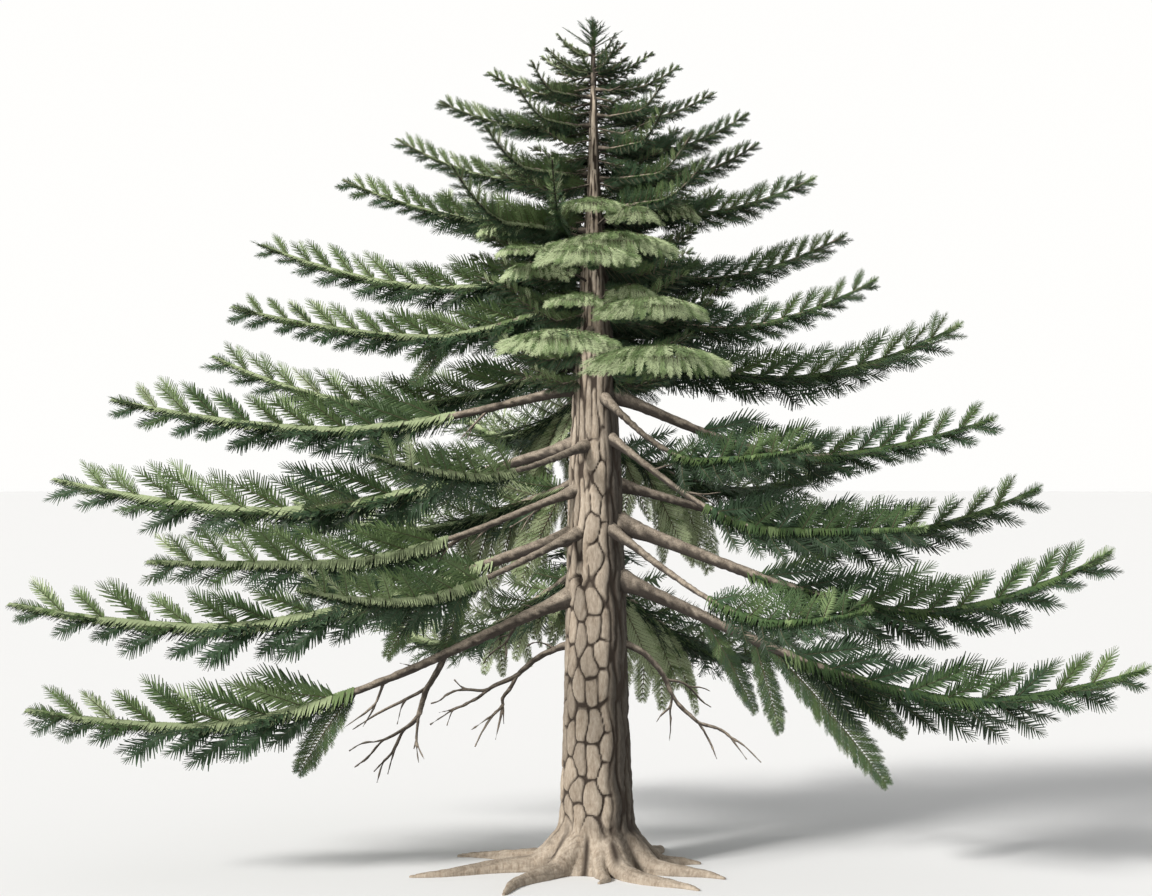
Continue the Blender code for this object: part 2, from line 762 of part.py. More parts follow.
def make_mass(bough, line, stem, space, tree):
    """The foliage of one bough: its stem with its sprays and arms fused on."""
    owner = bough.name
    chance = random.Random(f"{SEED} {bough.name} sprays")
    teeth = BROAD_TEETH if bough.reach > BROAD_REACH else PLAIN_TEETH
    pieces = make_collection(owner + "_pieces")
    for number, turn in enumerate(bough.forks):
        spot = fork_place(bough, line, number, turn)
        length = FORK_SHARE * bough.reach
        try_spray(owner, spot, length, LONG_TEETH, space, pieces, FORK_SLIM)
    dress_line(owner, bough, line, foliage_start(bough), teeth, chance, space, pieces)
    return fuse(stem, pieces, owner + "_foliage", tree, NEEDLES)


def foliage_start(bough):
    """Share of the bough where its first spray may stand."""
    if bough.bare:
        return bough.bare + 0.02
    return max(FOLIAGE_START, (trunk_radius(bough.foot) + 0.25) / bough.reach)


def make_stem(bough, line, fat_trunk, work, space):
    """The stem of a mass, a hair clear of its limb's tip or of the trunk."""
    name = bough.name + "_stem"
    if bough.bare:
        points, radii = line.run(bough.bare, 1.0, STEM_STEP)
        points[0] = points[0] + joint_direction(bough, line) * GAP
        stem = tube(name, points, radii, 4, work)
    else:
        first = foot_share(bough.foot, bough.reach)
        points, radii = line.run(first, 1.0, STEM_STEP)
        stem = tube(name, points, radii, 4, work)
        boolean(stem, "DIFFERENCE", fat_trunk)
        stem = settle(stem, name, work)
    space.claim_object(bough.name, stem)
    return stem


def make_leader(space, tree, work):
    """The top shoot above the trunk, with its whorls of short sprays."""
    owner = "leader"
    chance = random.Random(f"{SEED} leader")
    foot = trunk_axis(TRUNK_TOP + GAP)
    top = trunk_axis(TREE_TOP - 0.12)
    middle = (foot + top) / 2
    radii = (LEADER_RADIUS, 0.6 * LEADER_RADIUS, TWIG_TIP)
    main = tube("leader_stem", (foot, middle, top), radii, 4, work)
    space.claim_object(owner, main)
    pieces = make_collection("leader_pieces")
    for height, count, length, rise, first in LEADER_WHORLS:
        for number in range(count):
            azimuth = first + 360 * number / count + chance.uniform(-8, 8)
            run = (level_direction(azimuth) + Vector((0, 0, rise))).normalized()
            across = run.cross(Vector((0, 0, 1))).normalized()
            spot = trunk_axis(height)
            place_of = (spot, run, across, run.cross(across))
            try_spray(owner, place_of, length, PLAIN_TEETH, space, pieces)
    up = Vector((0, 0, 1))
    place_of = (trunk_axis(TREE_TOP - 0.32), up, Vector((1, 0, 0)), Vector((0, 1, 0)))
    try_spray(owner, place_of, 0.32, PLAIN_TEETH, space, pieces)
    return fuse(main, pieces, "leader_foliage", tree, NEEDLES)


def finish(thing):
    thing.data.shade_smooth()
    thing.data.set_sharp_from_angle(angle=math.radians(40))


def build():
    clear_scene()
    tree = make_collection("douglas_fir")
    cutters = make_collection("cutters")
    work = make_collection("work")
    space = Space()
    trunk = make_trunk(tree, cutters)
    space.claim_object("trunk", trunk)
    fat_trunk = as_cutter(turned_trunk("trunk_cutter", GAP, cutters))
    for limb in DEAD_LIMBS:
        made = make_dead_limb(limb, fat_trunk, tree, work)
        space.claim_object(limb.name, made)
    lines = {}
    stems = {}
    for bough in BOUGHS:
        line = bough_line(bough)
        lines[bough.name] = line
        if bough.bare:
            limb = make_limb(bough, line, fat_trunk, tree, work)
            space.claim_object(bough.name + "_limb", limb)
    for bough in BOUGHS:
        stems[bough.name] = make_stem(bough, lines[bough.name], fat_trunk, work, space)
    for bough in BOUGHS:
        make_mass(bough, lines[bough.name], stems[bough.name], space, tree)
    make_leader(space, tree, work)
    for thing in tree.objects:
        finish(thing)


build()
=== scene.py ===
"""The looks of an old open-grown Douglas fir, 15 m tall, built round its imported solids.

Metres, +Z up, seen from -Y. Azimuths are degrees from +X, turning towards +Y. The boughs
follow the same sizes and the same seeded rule as the solids, and carry it on to finer
twigs and to the needles.
"""

import random
from collections import namedtuple
from math import atan2, cos, degrees, exp, pi, radians, remainder, sin, sqrt, tau

import bmesh
import bpy
import numpy as np
from mathutils import Matrix, Vector, noise


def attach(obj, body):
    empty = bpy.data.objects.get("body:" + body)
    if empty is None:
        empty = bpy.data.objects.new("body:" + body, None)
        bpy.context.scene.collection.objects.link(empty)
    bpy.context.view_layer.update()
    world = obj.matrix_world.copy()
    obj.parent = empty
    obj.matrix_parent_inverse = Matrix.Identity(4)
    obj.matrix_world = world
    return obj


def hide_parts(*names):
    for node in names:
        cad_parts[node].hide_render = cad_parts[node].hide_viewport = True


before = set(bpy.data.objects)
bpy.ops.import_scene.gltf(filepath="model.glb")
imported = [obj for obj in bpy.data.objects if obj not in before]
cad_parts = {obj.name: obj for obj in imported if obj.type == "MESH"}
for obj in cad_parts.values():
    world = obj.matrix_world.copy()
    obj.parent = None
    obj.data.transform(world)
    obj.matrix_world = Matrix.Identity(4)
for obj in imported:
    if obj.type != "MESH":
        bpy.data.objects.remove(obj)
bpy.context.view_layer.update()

SEED = 7
UP = Vector((0, 0, 1))
TREE_TOP = 15.0
TRUNK_TOP = 13.9
TOP_SHIFT = -0.07

# Radius of the trunk at each height, without the flare that fades out below FLARE_TOP
TAPER = (
    (0.0, 0.63), (1.7, 0.6), (3.2, 0.55), (4.7, 0.52), (7.4, 0.435), (8.6, 0.375),
    (9.6, 0.305), (10.7, 0.235), (11.8, 0.128), (12.6, 0.098), (TRUNK_TOP, 0.054),
)
FLARE_TOP = 1.7
FLARE_SWELL = 0.3
FLARE_FADE = 0.45

# Surface roots: azimuth, reach from the axis, half thickness beside the flare
ROOTS = (
    (198, 3.4, 0.27), (239, 3.2, 0.24), (272, 1.7, 0.19), (305, 2.9, 0.25), (331, 2.5, 0.28),
    (12, 1.9, 0.27), (62, 2.6, 0.27), (112, 2.3, 0.25), (155, 2.8, 0.26),
)
ROOT_RISE = 0.72
ROOT_KNEE = 1.15
ROOT_START = 0.3

# A living bough: where it leaves the trunk, how far it goes, how much it sinks and its end
# rises again, its radius at the foot, the share of it that is bare, the turn of each arm
# that forks off it, and whether its sprays make an arm or a drooping pad
Bough = namedtuple("Bough", "name azimuth foot reach drop lift girth bare forks kind",
                   defaults=(0.0, (), "arm"))
BOUGHS = {row[0]: Bough(*row) for row in (
    ("tier1_left", 194, 4.92, 9.75, 2.25, 0.35, 0.125, 0.43),
    ("tier1_right", 346, 5.22, 9.4, 2.15, 0.6, 0.14, 0.34),
    ("tier1_back_left", 122, 5.3, 7.8, 1.7, 0.4, 0.12),
    ("tier1_back_right", 58, 5.05, 8.0, 1.7, 0.45, 0.12),
    ("tier2_left", 189, 5.96, 10.0, 1.65, 0.42, 0.12, 0.17),
    ("tier2_right", 343, 6.18, 8.85, 1.6, 1.05, 0.145, 0.29),
    ("tier2_front_left", 230, 6.02, 7.2, 1.1, 0.3, 0.085, 0.38),
    ("tier2_front_right", 308, 6.12, 6.8, 1.55, 0.3, 0.085, 0.42),
    ("tier2_back", 92, 6.15, 7.6, 1.2, 0.5, 0.11),
    ("tier3_left", 212, 6.75, 8.35, 1.25, 0.1, 0.08, 0.35),
    ("tier3_right", 12, 6.84, 8.25, 1.05, 0.85, 0.095, 0.25),
    ("tier3_back", 140, 6.85, 7.6, 1.0, 0.5, 0.1),
    ("tier4_left", 174, 7.52, 9.7, 1.25, 0.55, 0.11, 0.19),
    ("tier4_front_left", 238, 7.5, 6.6, 0.55, 0.35, 0.08, 0.42),
    ("tier4_front_right", 318, 7.74, 6.9, 1.7, 0.1, 0.075, 0.36),
    ("tier4_back", 48, 7.5, 7.4, 0.9, 0.55, 0.1),
    ("tier5_left", 182, 8.52, 8.4, 0.8, 0.52, 0.097, 0.28),
    ("tier5_right", 354, 8.45, 6.9, 1.2, 0.65, 0.115, 0.24),
    ("tier5_front_right", 302, 8.4, 6.2, 1.2, 0.2, 0.075, 0.4),
    ("tier5_back", 112, 8.4, 7.0, 0.8, 0.5, 0.095),
    ("tier6_left", 165, 8.95, 7.2, 0.8, 0.92, 0.08),
    ("tier6_right", 14, 9.14, 6.85, 0.5, 1.0, 0.08),
    ("tier6_front_left", 260, 9.55, 3.9, 0.45, 0.0, 0.055, 0.0, (), "pad"),
    ("tier6_front_right", 284, 9.32, 4.6, 0.55, 0.0, 0.06, 0.0, (), "pad"),
    ("tier6_back", 76, 9.2, 6.2, 0.55, 0.6, 0.08),
    ("tier7_left", 186, 10.1, 6.3, 0.75, 0.5, 0.07),
    ("tier7_right", 350, 9.85, 4.9, 0.35, 0.8, 0.07),
    ("tier7_front", 286, 10.1, 3.7, 0.45, 0.0, 0.05, 0.0, (-26,), "pad"),
    ("tier7_back", 118, 9.95, 5.4, 0.45, 0.6, 0.07),
    ("tier8_left", 172, 10.5, 6.0, 0.25, 0.8, 0.065),
    ("tier8_right", 8, 10.6, 4.5, 0.2, 0.8, 0.06),
    ("tier8_front", 267, 10.9, 3.3, 0.35, 0.0, 0.05, 0.0, (-30,), "pad"),
    ("tier8_back", 64, 10.6, 4.6, 0.25, 0.65, 0.06),
    ("tier9_left", 188, 11.2, 4.4, -0.2, 0.67, 0.05, 0.0, (-48, 45, 78)),
    ("tier9_right", 352, 11.7, 3.85, 0.2, 0.6, 0.048, 0.0, (52, -52)),
    ("tier10_left", 176, 12.25, 3.45, 0.08, 0.7, 0.04, 0.0, (-55, 58)),
    ("tier10_right", 6, 12.15, 2.9, 0.0, 0.65, 0.038, 0.0, (55, -58)),
    ("tier11_left", 186, 13.1, 2.68, 0.05, 0.42, 0.032, 0.0, (-55, 55)),
    ("tier11_right", 354, 12.7, 2.68, 0.05, 0.6, 0.032, 0.0, (55, -58)),
    ("tier12_left", 178, 13.6, 1.86, -0.05, 0.4, 0.026, 0.0, (-58, 58)),
    ("tier12_right", 4, 13.28, 2.1, 0.05, 0.45, 0.026, 0.0, (58, -60)),
    ("tier13_right", 350, 13.72, 1.5, 0.0, 0.38, 0.022),
)}
LOW_SHARE = 0.75
LOW_CLIMB = 0.05
LOW_FOOT = 5.0
LOW_LEAST = 0.45
SINK_POWER = 1.2
RISE_FROM = 0.9
RISE_POWER = 1.8
TAPER_POWER = 1.5
SWAY = 0.03
TWIG_TIP = 0.013
COLLAR_SWELL = 0.7
COLLAR_FADE = 0.25
FOOT_INSIDE = 0.25
FOLIAGE_CLEAR = 0.12
FORK_SHARE = 0.75
FORK_CLEAR = 0.12
FORK_APART = 0.09
FORK_RISE = 0.06

# Shoots of the leader: height, how many, length, rise, first azimuth
LEADER_WHORLS = (
    (14.02, 5, 1.15, 0.34, 3),
    (14.3, 4, 0.8, 0.42, 36),
    (14.46, 4, 0.62, 0.5, 4),
    (14.62, 4, 0.42, 0.6, 40),
    (14.76, 3, 0.26, 1.0, 20),
)
DRESSED_SHOOT = 0.6
SHOOT_HALF = 0.055

# Dead wood in runs: degrees below level, length, and the runs that go on from the end
DEAD_LEFT = (
    23, 0.2,
    (23, 0.3, (38, 0.38, (48, 0.18,
        (21, 0.42, (37, 0.17,
            (-7, 0.41, (14, 0.28, (45, 0.19, (15, 0.17))), (-46, 0.22)),
            (40, 0.13, (27, 0.34, (17, 0.23, (32, 0.46), (8, 0.26), (69, 0.29)))))),
        (64, 0.23, (45, 0.21, (96, 0.15,
            (76, 0.21, (73, 0.4)),
            (93, 0.32),
            (34, 0.3, (50, 0.42, (61, 0.21)), (24, 0.5))))),
    ))),
    (-28, 0.25, (0, 0.17, (28, 0.13))),
)
DEAD_RIGHT = (
    25, 0.32, (45, 0.38, (57, 0.29,
        (69, 0.31,
            (52, 0.26, (37, 0.22, (45, 0.19,
                (12, 0.21, (19, 0.21, (40, 0.21, (22, 0.24, (43, 0.46)), (52, 0.46)))),
                (56, 0.24, (66, 0.22, (68, 0.24)))))),
            (103, 0.21, (86, 0.29, (96, 0.29)), (144, 0.19, (122, 0.16)))),
        (5, 0.25, (29, 0.23, (48, 0.36, (29, 0.23)), (0, 0.2, (25, 0.21)))),
    )),
)

# Dead branches on the lower trunk: name, azimuth, height and runs
DEAD_LIMBS = (
    ("dead_limb_left", 187, 3.94, DEAD_LEFT),
    ("dead_limb_right", 354, 3.96, DEAD_RIGHT),
)

# Dead twigs on the boughs: bough, share of it, azimuth and runs
DEAD_TWIGS = (
    ("tier1_left", 0.278, 186, (67, 0.34, (54, 0.37,
        (74, 0.24, (74, 0.3,
            (35, 0.41,
                (26, 0.49, (3, 0.34, (32, 0.31)), (51, 0.34, (34, 0.38))),
                (66, 0.42, (38, 0.3, (45, 0.26), (72, 0.39)), (75, 0.4))),
            (83, 0.42, (102, 0.36), (122, 0.34), (67, 0.13)))),
        (28, 0.47, (25, 0.44, (31, 0.68)), (77, 0.41))))),
    ("tier1_left", 0.388, 186, (71, 0.46, (59, 0.42), (32, 0.65))),
    ("tier1_left", 0.144, 186, (
        61, 0.3, (61, 0.18, (32, 0.32, (57, 0.22)), (101, 0.17, (77, 0.23))),
        (10, 0.19, (49, 0.16)))),
    ("tier1_left", 0.1, 192, (-14, 0.45)),
    ("tier1_left", 0.33, 192, (-14, 0.3)),
    ("tier3_left", 0.12, 190, (38, 0.4, (30, 0.4), (60, 0.3))),
    ("tier3_left", 0.21, 188, (26, 0.5, (18, 0.45, (24, 0.4)), (45, 0.4))),
    ("tier3_left", 0.31, 188, (33, 0.5, (25, 0.45, (34, 0.4)), (55, 0.45))),
    ("tier5_left", 0.22, 186, (46, 0.45, (46, 0.35), (70, 0.25))),
    ("tier4_front_right", 0.2, 345, (-20, 0.35, (-4, 0.3))),
    ("tier4_front_right", 0.29, 350, (12, 0.35, (-8, 0.35), (34, 0.3))),
)
DEAD_TIP = 0.007
DEAD_THICK = 0.017
DEAD_SWING = 14

# Stations along a bough, and the feathers that leave them: roll about the stem in degrees
# and length beside that of the bough's own feathers
LAST_SPRAY = 0.97
STATION_RUN = ((1.5, 0.14), (3.0, 0.18), (4.5, 0.27), (6.5, 0.43), (8.0, 0.56), (10.0, 0.68))
SPRAY_RUN = ((0.8, 0.15), (1.5, 0.29), (3.0, 0.45), (5.0, 0.68), (8.0, 1.02), (10.0, 1.22))
SPRAY_OPEN = ((0.0, 35), (0.6, 46), (1.0, 48))
SPRAY_SWEEP = 0.16
SPRAY_RISE = 0.08
UP_ROLLS = ((56, 1.0), (124, 1.0))
DOWN_ROLLS = ((-52, 1.0), (232, 1.0))
SIDE_ROLLS = ((-8, 1.3), (188, 1.3))
SIDES_FROM = -0.5

# Painted light and shade on the feathers: how light their greens are, by where their bough heads
# and a little at random
LIT_SPREAD = 0.085
SPRAY_LIT = 0.49
FACING_LIT = ((-0.5, 0.02), (-0.3, 0.0), (0.3, 0.0), (0.6, 0.14))
SHADE_SIDE = 0.17

TIP_BACK = (0.95, 0.7)
FEATHER_SLIM = ((0.3, 0.22), (1.0, 0.21), (1.8, 0.15))
BRANCHLET_TURN = 38
BRANCHLET_SHARE = 0.5

# Short needles that clothe a stem: their reach beside the stem's, how it fades, the share
# of a comb's run from one to the next, and how light they are painted on top and below:
# painted sunlight on the drape and painted shade on the fringe
CLAD_SHARE = 0.03
CLAD_FADE = 0.7
CLAD_LEAST = 0.045
CLAD_STEP = ((0.06, 0.85), (0.15, 0.6))
DRAPE_LIT = (1.0, 0.62)
FRINGE_LIT = ((-0.97, 0.5), (-0.88, 0.15))
BARE_SHARE = 0.35

# Drooping pads on stems of their own: middle of the top edge, half its width and how far
# its fingers hang
PAD_SHARE = (0.25, 0.17)
PAD_RISE = 0.26
PAD_DROOP = 0.3
PAD_RUN = 0.09
PAD_TURNS = (85, 12)
PAD_FEATHER = 0.09
FINGER_GAP = 0.075
FINGER_HALF = 0.052
FINGER_SHARE = 0.8
# How lit each row of a pad's fingers is painted: pale greens, painted light
FINGER_ROWS_LIT = (0.84, 0.97, 0.9)
Pad = namedtuple("Pad", "x y top half droop")
PADS = (
    Pad(-0.13, -1.3, 11.72, 0.64, 0.2),
    Pad(0.3, -2.2, 11.06, 1.1, 0.3),
    Pad(0.66, -1.4, 11.58, 0.42, 0.24),
    Pad(1.46, -1.0, 11.62, 0.42, 0.2),
    Pad(0.6, -1.8, 10.2, 0.4, 0.22),
    Pad(-1.75, -1.0, 11.34, 0.56, 0.2),
    Pad(-1.15, -1.6, 10.58, 0.7, 0.22),
)

# Hanging plumes: bough, share of it, run (right, back, up), length and half width
PLUME_STEP = 0.055
HANGING_STEP = 0.075
PLUME_OPEN = 42
PLUME_FEATHER = 0.055
PLUME_FACE = Vector((0, -0.95, 0.3))
PLUME_LIT = 0.55
Plume = namedtuple("Plume", "bough share run length half")
PLUMES = (
    Plume("tier1_right", 0.33, (0.7, 0.0, -0.68), 2.8, 0.3),
    Plume("tier1_right", 0.205, (0.55, 0.25, -0.85), 1.75, 0.2),
    Plume("tier1_right", 0.3, (0.3, 0.2, -0.9), 1.5, 0.22),
    Plume("tier1_right", 0.42, (0.8, -0.2, -0.5), 1.7, 0.24),
    Plume("tier1_left", 0.445, (-0.52, -0.2, -0.66), 1.45, 0.25),
    Plume("tier2_left", 0.22, (-0.35, 0.1, -0.9), 1.3, 0.22),
    Plume("tier2_left", 0.28, (-0.6, -0.1, -0.75), 1.4, 0.22),
    Plume("tier4_left", 0.42, (-0.85, -0.3, 0.02), 1.1, 0.18),
    Plume("tier7_left", 0.38, (-0.7, -0.1, -0.65), 1.1, 0.17),
)
HANGING = (
    ("tier1_back_left", 0.9), ("tier1_back_right", 1.45), ("tier2_back", 1.5),
    ("tier3_back", 1.5), ("tier4_back", 1.5), ("tier5_back", 1.3),
)
HANGING_SHARES = (0.1, 0.17, 0.24, 0.31, 0.39)
HANGING_HALF = 0.15
# Painted light: the hanging plumes get pale greens, though they hang in the crown's shade
HANGING_LIT = 0.95

# Outline of a feather: half width at shares of its rib
FEATHER_OUTLINE = ((0.0, 0.6), (0.3, 1.0), (0.8, 1.0), (1.0, 0.85))
PLUME_OUTLINE = ((0.0, 0.5), (0.25, 1.0), (0.7, 0.95), (1.0, 0.35))

# Combs of needles, sized for a feather one metre to a side: roll of the needles on one
# side and its spread, the angle they stand off at, how far out and how far up they start
COMB_RUN = 1.3
SMALL_RUN = 1.6
SMALL_HALF = 0.07
NEEDLE_LONG = 1.32
NEEDLE_FOLD = 0.25
NEEDLE_POINT = 0.3
Comb = namedtuple("Comb", "kind copies needles slim side spread opening foot lift tip",
                  defaults=(0.0, 0.0, False))
COMBS = (
    Comb("full", 3, 12, 0.145, 0, 24, 50),
    Comb("full_tip", 2, 12, 0.145, 0, 26, 54, tip=True),
    Comb("small", 3, 8, 0.22, 0, 30, 50),
    Comb("small_tip", 2, 8, 0.22, 0, 30, 54, tip=True),
    Comb("drape", 3, 17, 0.13, -48, 13, 62, 0.1, 0.38),
    Comb("small_drape", 2, 10, 0.2, -48, 13, 62, 0.1, 0.38),
    Comb("fringe", 3, 15, 0.15, 45, 48, 52, 0.15),
    Comb("small_fringe", 2, 8, 0.22, 45, 48, 52, 0.15),
)
COMB_LIST = [comb for comb in COMBS for _ in range(comb.copies)]
COMB_PLACES = {comb.kind: [place for place, other in enumerate(COMB_LIST) if other is comb]
               for comb in COMBS}

# Greens for painted light and shade, the same needles from the painted shade inside the crown to
# painted sunlight on its young tips
GREENS = (
    ("needles_shade", (0.014, 0.03, 0.013)),
    ("needles_deep", (0.022, 0.046, 0.02)),
    ("needles_dark", (0.03, 0.062, 0.028)),
    ("needles_blue", (0.042, 0.082, 0.04)),
    ("needles_mid", (0.058, 0.104, 0.038)),
    ("needles_warm", (0.084, 0.134, 0.046)),
    ("needles_light", (0.175, 0.245, 0.105)),
    ("needles_young", (0.37, 0.44, 0.25)),
)

# Short boughs between the whorls, round the sides and back: reach at each height
INFILL_FOOT = 8.75
INFILL_TOP = 14.0
INFILL_STEP = 0.47
INFILL_AZIMUTHS = (-28, 0, 40, 90, 140, 180, 208)
INFILL_REACH = ((8.7, 1.7), (10.0, 2.3), (11.5, 1.9), (12.6, 1.3), (13.9, 0.7))
COLLAR_TOP = 14.2
COLLAR_STEP = 0.11
COLLAR_FIRST = -25
COLLAR_TURN = 230
COLLAR_SHOOTS = 7
COLLAR_REACH = 0.55

LIMB_SIDES = 14
LIMB_RUN = 0.07
LIMB_ROUGH = 11.0
LIMB_RELIEF = 0.013
TWIG_SIDES = 3
RIB_RADII = (0.011, 0.0077, 0.0033)

# Bark plates: columns round the trunk, height of one, depth of the furrows between them
PLATE_COLUMNS = 15
PLATE_TALL = 0.6
PLATE_SQUEEZE = 1.35
PLATE_ROUND = (0.63, 0.72)
PLATE_DEPTH = 0.05
STREAK_COLUMNS = 22
STREAK_TALL = 1.5
CELL_ROWS = 61
FAR = 9.0

# Where the streaks take over from the plates, where the side away from the sun is painted in
# shade and streaked, where root grain does, and where the top is painted lighter against the
# shade of the pads: the first value is none of it and the second is all
STREAK_HEIGHT = (6.9, 8.3)
SHADED_SIDE = (0.22, 0.55)
FLANK_SIDE = (0.2, 0.5)
FLANK_HEIGHT = (5.0, 5.6)
ROOTY_HEIGHT = (0.95, 0.45)
PAINTED_LIGHT_TOP = (8.2, 9.2)

# The trunk before its bark
VOXEL = 0.027
ROOT_RINGS = 26
ROOT_SIDES = 16
SHAFT_SIDES = 96
SHAFT_STEP = 0.06
RIDGE_TOP = 1.5
RIDGE_WIDE = 0.2

# A small knot hole above the lowest left bough
KNOT_AZIMUTH = 232
KNOT_HEIGHT = 5.11
KNOT_HALF = 0.075

# Every random draw, with a seed of its own for each rule that grows something
chance = random.Random()
uniform = chance.uniform

# All that has grown so far: rows of combs by green, and wood as paths with their radii
comb_rows = {name: [] for name, _ in GREENS}
limb_sticks = []
rib_sticks = []


def blend(table, value):
    """Straight-line reading of a table of (value, result) pairs."""
    return float(np.interp(value, *zip(*table)))


def jitter(reach):
    return uniform(-reach, reach)


def seed(words):
    chance.seed(f"{SEED} {words}")


def level(azimuth):
    turn = radians(azimuth)
    return Vector((cos(turn), sin(turn), 0.0))


def top_face(run):
    """The direction square to a run that points most upward."""
    return run.cross(UP).normalized().cross(run)


def trunk_radius(height):
    flare = FLARE_SWELL * exp(-height / FLARE_FADE) if height < FLARE_TOP else 0.0
    return blend(TAPER, height) + flare


def trunk_axis(height):
    return Vector((TOP_SHIFT * height / TREE_TOP, 0.0, height))


class Line(namedtuple("Line", "start azimuth reach drop lift low girth sway", defaults=(0.0,))):
    """The middle line of a bough, or of an arm that forks off it."""

    @property
    def heading(self):
        return level(self.azimuth)

    def point(self, share):
        sink = sin(pi / 2 * min(1.0, share / self.low)) ** SINK_POWER
        turn = RISE_FROM * self.low
        rise = max(0.0, (share - turn) / (1.0 - turn)) ** RISE_POWER
        spot = self.start + self.heading * (self.reach * share)
        spot += level(self.azimuth + 90) * (self.sway * sin(pi * share))
        spot.z += self.lift * rise - self.drop * sink
        return spot

    def radius(self, share):
        return TWIG_TIP + (self.girth - TWIG_TIP) * max(0.0, 1.0 - share) ** TAPER_POWER

    def frame(self, share):
        """Along, level sideways and upward directions at a share of the line."""
        start, end = [self.point(min(1.0, max(0.0, share + step))) for step in (-0.01, 0.01)]
        along = (end - start).normalized()
        side = along.cross(UP).normalized()
        return along, side, side.cross(along).normalized()


def bough_line(bough):
    seed(bough.name)
    low = max(LOW_LEAST, LOW_SHARE - LOW_CLIMB * (bough.foot - LOW_FOOT))
    return Line(trunk_axis(bough.foot), bough.azimuth, bough.reach, bough.drop, bough.lift,
                low, bough.girth, jitter(SWAY) * bough.reach)


LINES = {name: bough_line(bough) for name, bough in BOUGHS.items()}


def fork_line(bough, number, turn):
    """An arm that leaves a bough just outside the trunk and rises towards its end."""
    share = (trunk_radius(bough.foot) + FORK_CLEAR + FORK_APART * number) / bough.reach
    reach = FORK_SHARE * bough.reach
    rise = reach * (FORK_RISE + (bough.lift - bough.drop) / bough.reach)
    return Line(LINES[bough.name].point(share), bough.azimuth + turn, reach, drop=0.0, lift=rise,
                low=0.6, girth=0.6 * bough.girth)


def pick_green(lit):
    """Name of the green for how well lit a spray is, 0 to 1, a little at random."""
    place = int((lit + chance.gauss(0.0, LIT_SPREAD)) * len(GREENS))
    return GREENS[max(0, min(len(GREENS) - 1, place))][0]


def grow_comb(green, spot, run, face, half, kind):
    """One comb of needles, by its place, run, face, size and number in COMB_LIST."""
    comb = chance.choice(COMB_PLACES[kind])
    row = (*spot, *run.normalized(), *face, run.length / COMB_RUN, half, half, comb)
    comb_rows[green].append(row)


def grow_feather(green, spot, run, face, length, half, bend, bare=0.0):
    """A rib that bends, with combs on all but the bare part at its foot."""
    small = half < SMALL_HALF
    steps = max(3, round(length / (COMB_RUN * half * (SMALL_RUN if small else 1.0))))
    points = [spot + run * (length * index / steps) + bend * (length * (index / steps) ** 2)
              for index in range(steps + 1)]
    for index, (start, end) in enumerate(zip(points, points[1:])):
        share = (index + 0.5) / steps
        if share * length >= bare:
            kind = ("small" if small else "full") + ("_tip" if index == steps - 1 else "")
            grow_comb(green, start, end - start, face, half * blend(FEATHER_OUTLINE, share), kind)
    skip = 2 if small else 1
    rib_sticks.append(([points[0], points[steps // 2], points[-1]][::skip], RIB_RADII[::skip]))
    return points


def feather_half(length):
    """Half width of a feather: long ones are slimmer."""
    return length * blend(FEATHER_SLIM, length)


def grow_spray(line, share, roll, length, opening, lit, branchlets, bare):
    """A feather that leaves the stem, and the side feathers of a broad one."""
    along, side, up = line.frame(share)
    turn = radians(roll)
    opening = radians(opening + jitter(7))
    outward = side * cos(turn) + up * sin(turn)
    run = along * cos(opening) + outward * sin(opening)
    face = run.cross(outward * cos(opening) - along * sin(opening))
    if face.z < 0:
        face = -face
    bend = along * SPRAY_SWEEP + UP * SPRAY_RISE * uniform(0.5, 1.2)
    half = feather_half(length) * uniform(0.9, 1.1)
    points = grow_feather(pick_green(lit), line.point(share), run, face, length, half, bend, bare)
    for number in range(branchlets):
        angle = radians(BRANCHLET_TURN * (1 if number % 2 else -1))
        size = length * BRANCHLET_SHARE * (1 - 0.12 * number)
        grow_feather(pick_green(lit), points[1 + number % (len(points) - 2)],
                     Matrix.Rotation(angle, 3, face) @ run, face, size, feather_half(size),
                     bend * 0.5)


def clad_half(line, share):
    return max(CLAD_LEAST, CLAD_SHARE * line.reach * (1.0 - CLAD_FADE * share ** 3))


def clad_stem(line, first):
    """Short needles on a stem: pale ones in painted sunlight draped over it, and a fringe in
    painted shade below.
    """
    share = first
    # Painted light: the drape is palest on the left, the side towards the sun, and the fringe
    # below is dark as painted shade
    drape_lit = DRAPE_LIT[line.heading.x > 0]
    fringe_lit = blend(FRINGE_LIT, line.heading.y)
    while share < 1.0:
        half = clad_half(line, share)
        size = "small_" if half < SMALL_HALF else ""
        step = COMB_RUN * half
        along, _, up = line.frame(share)
        for kind, face, lit in (("drape", up, drape_lit), ("fringe", -up, fringe_lit)):
            grow_comb(pick_green(lit), line.point(share), along * step, face, half, size + kind)
        share += blend(CLAD_STEP, half) * step / line.reach


def spray_length(reach, along):
    """Length of the feathers, which shorten towards the tip of the foliage."""
    return blend(SPRAY_RUN, reach) * (1.1 - 0.6 * along ** 1.4)


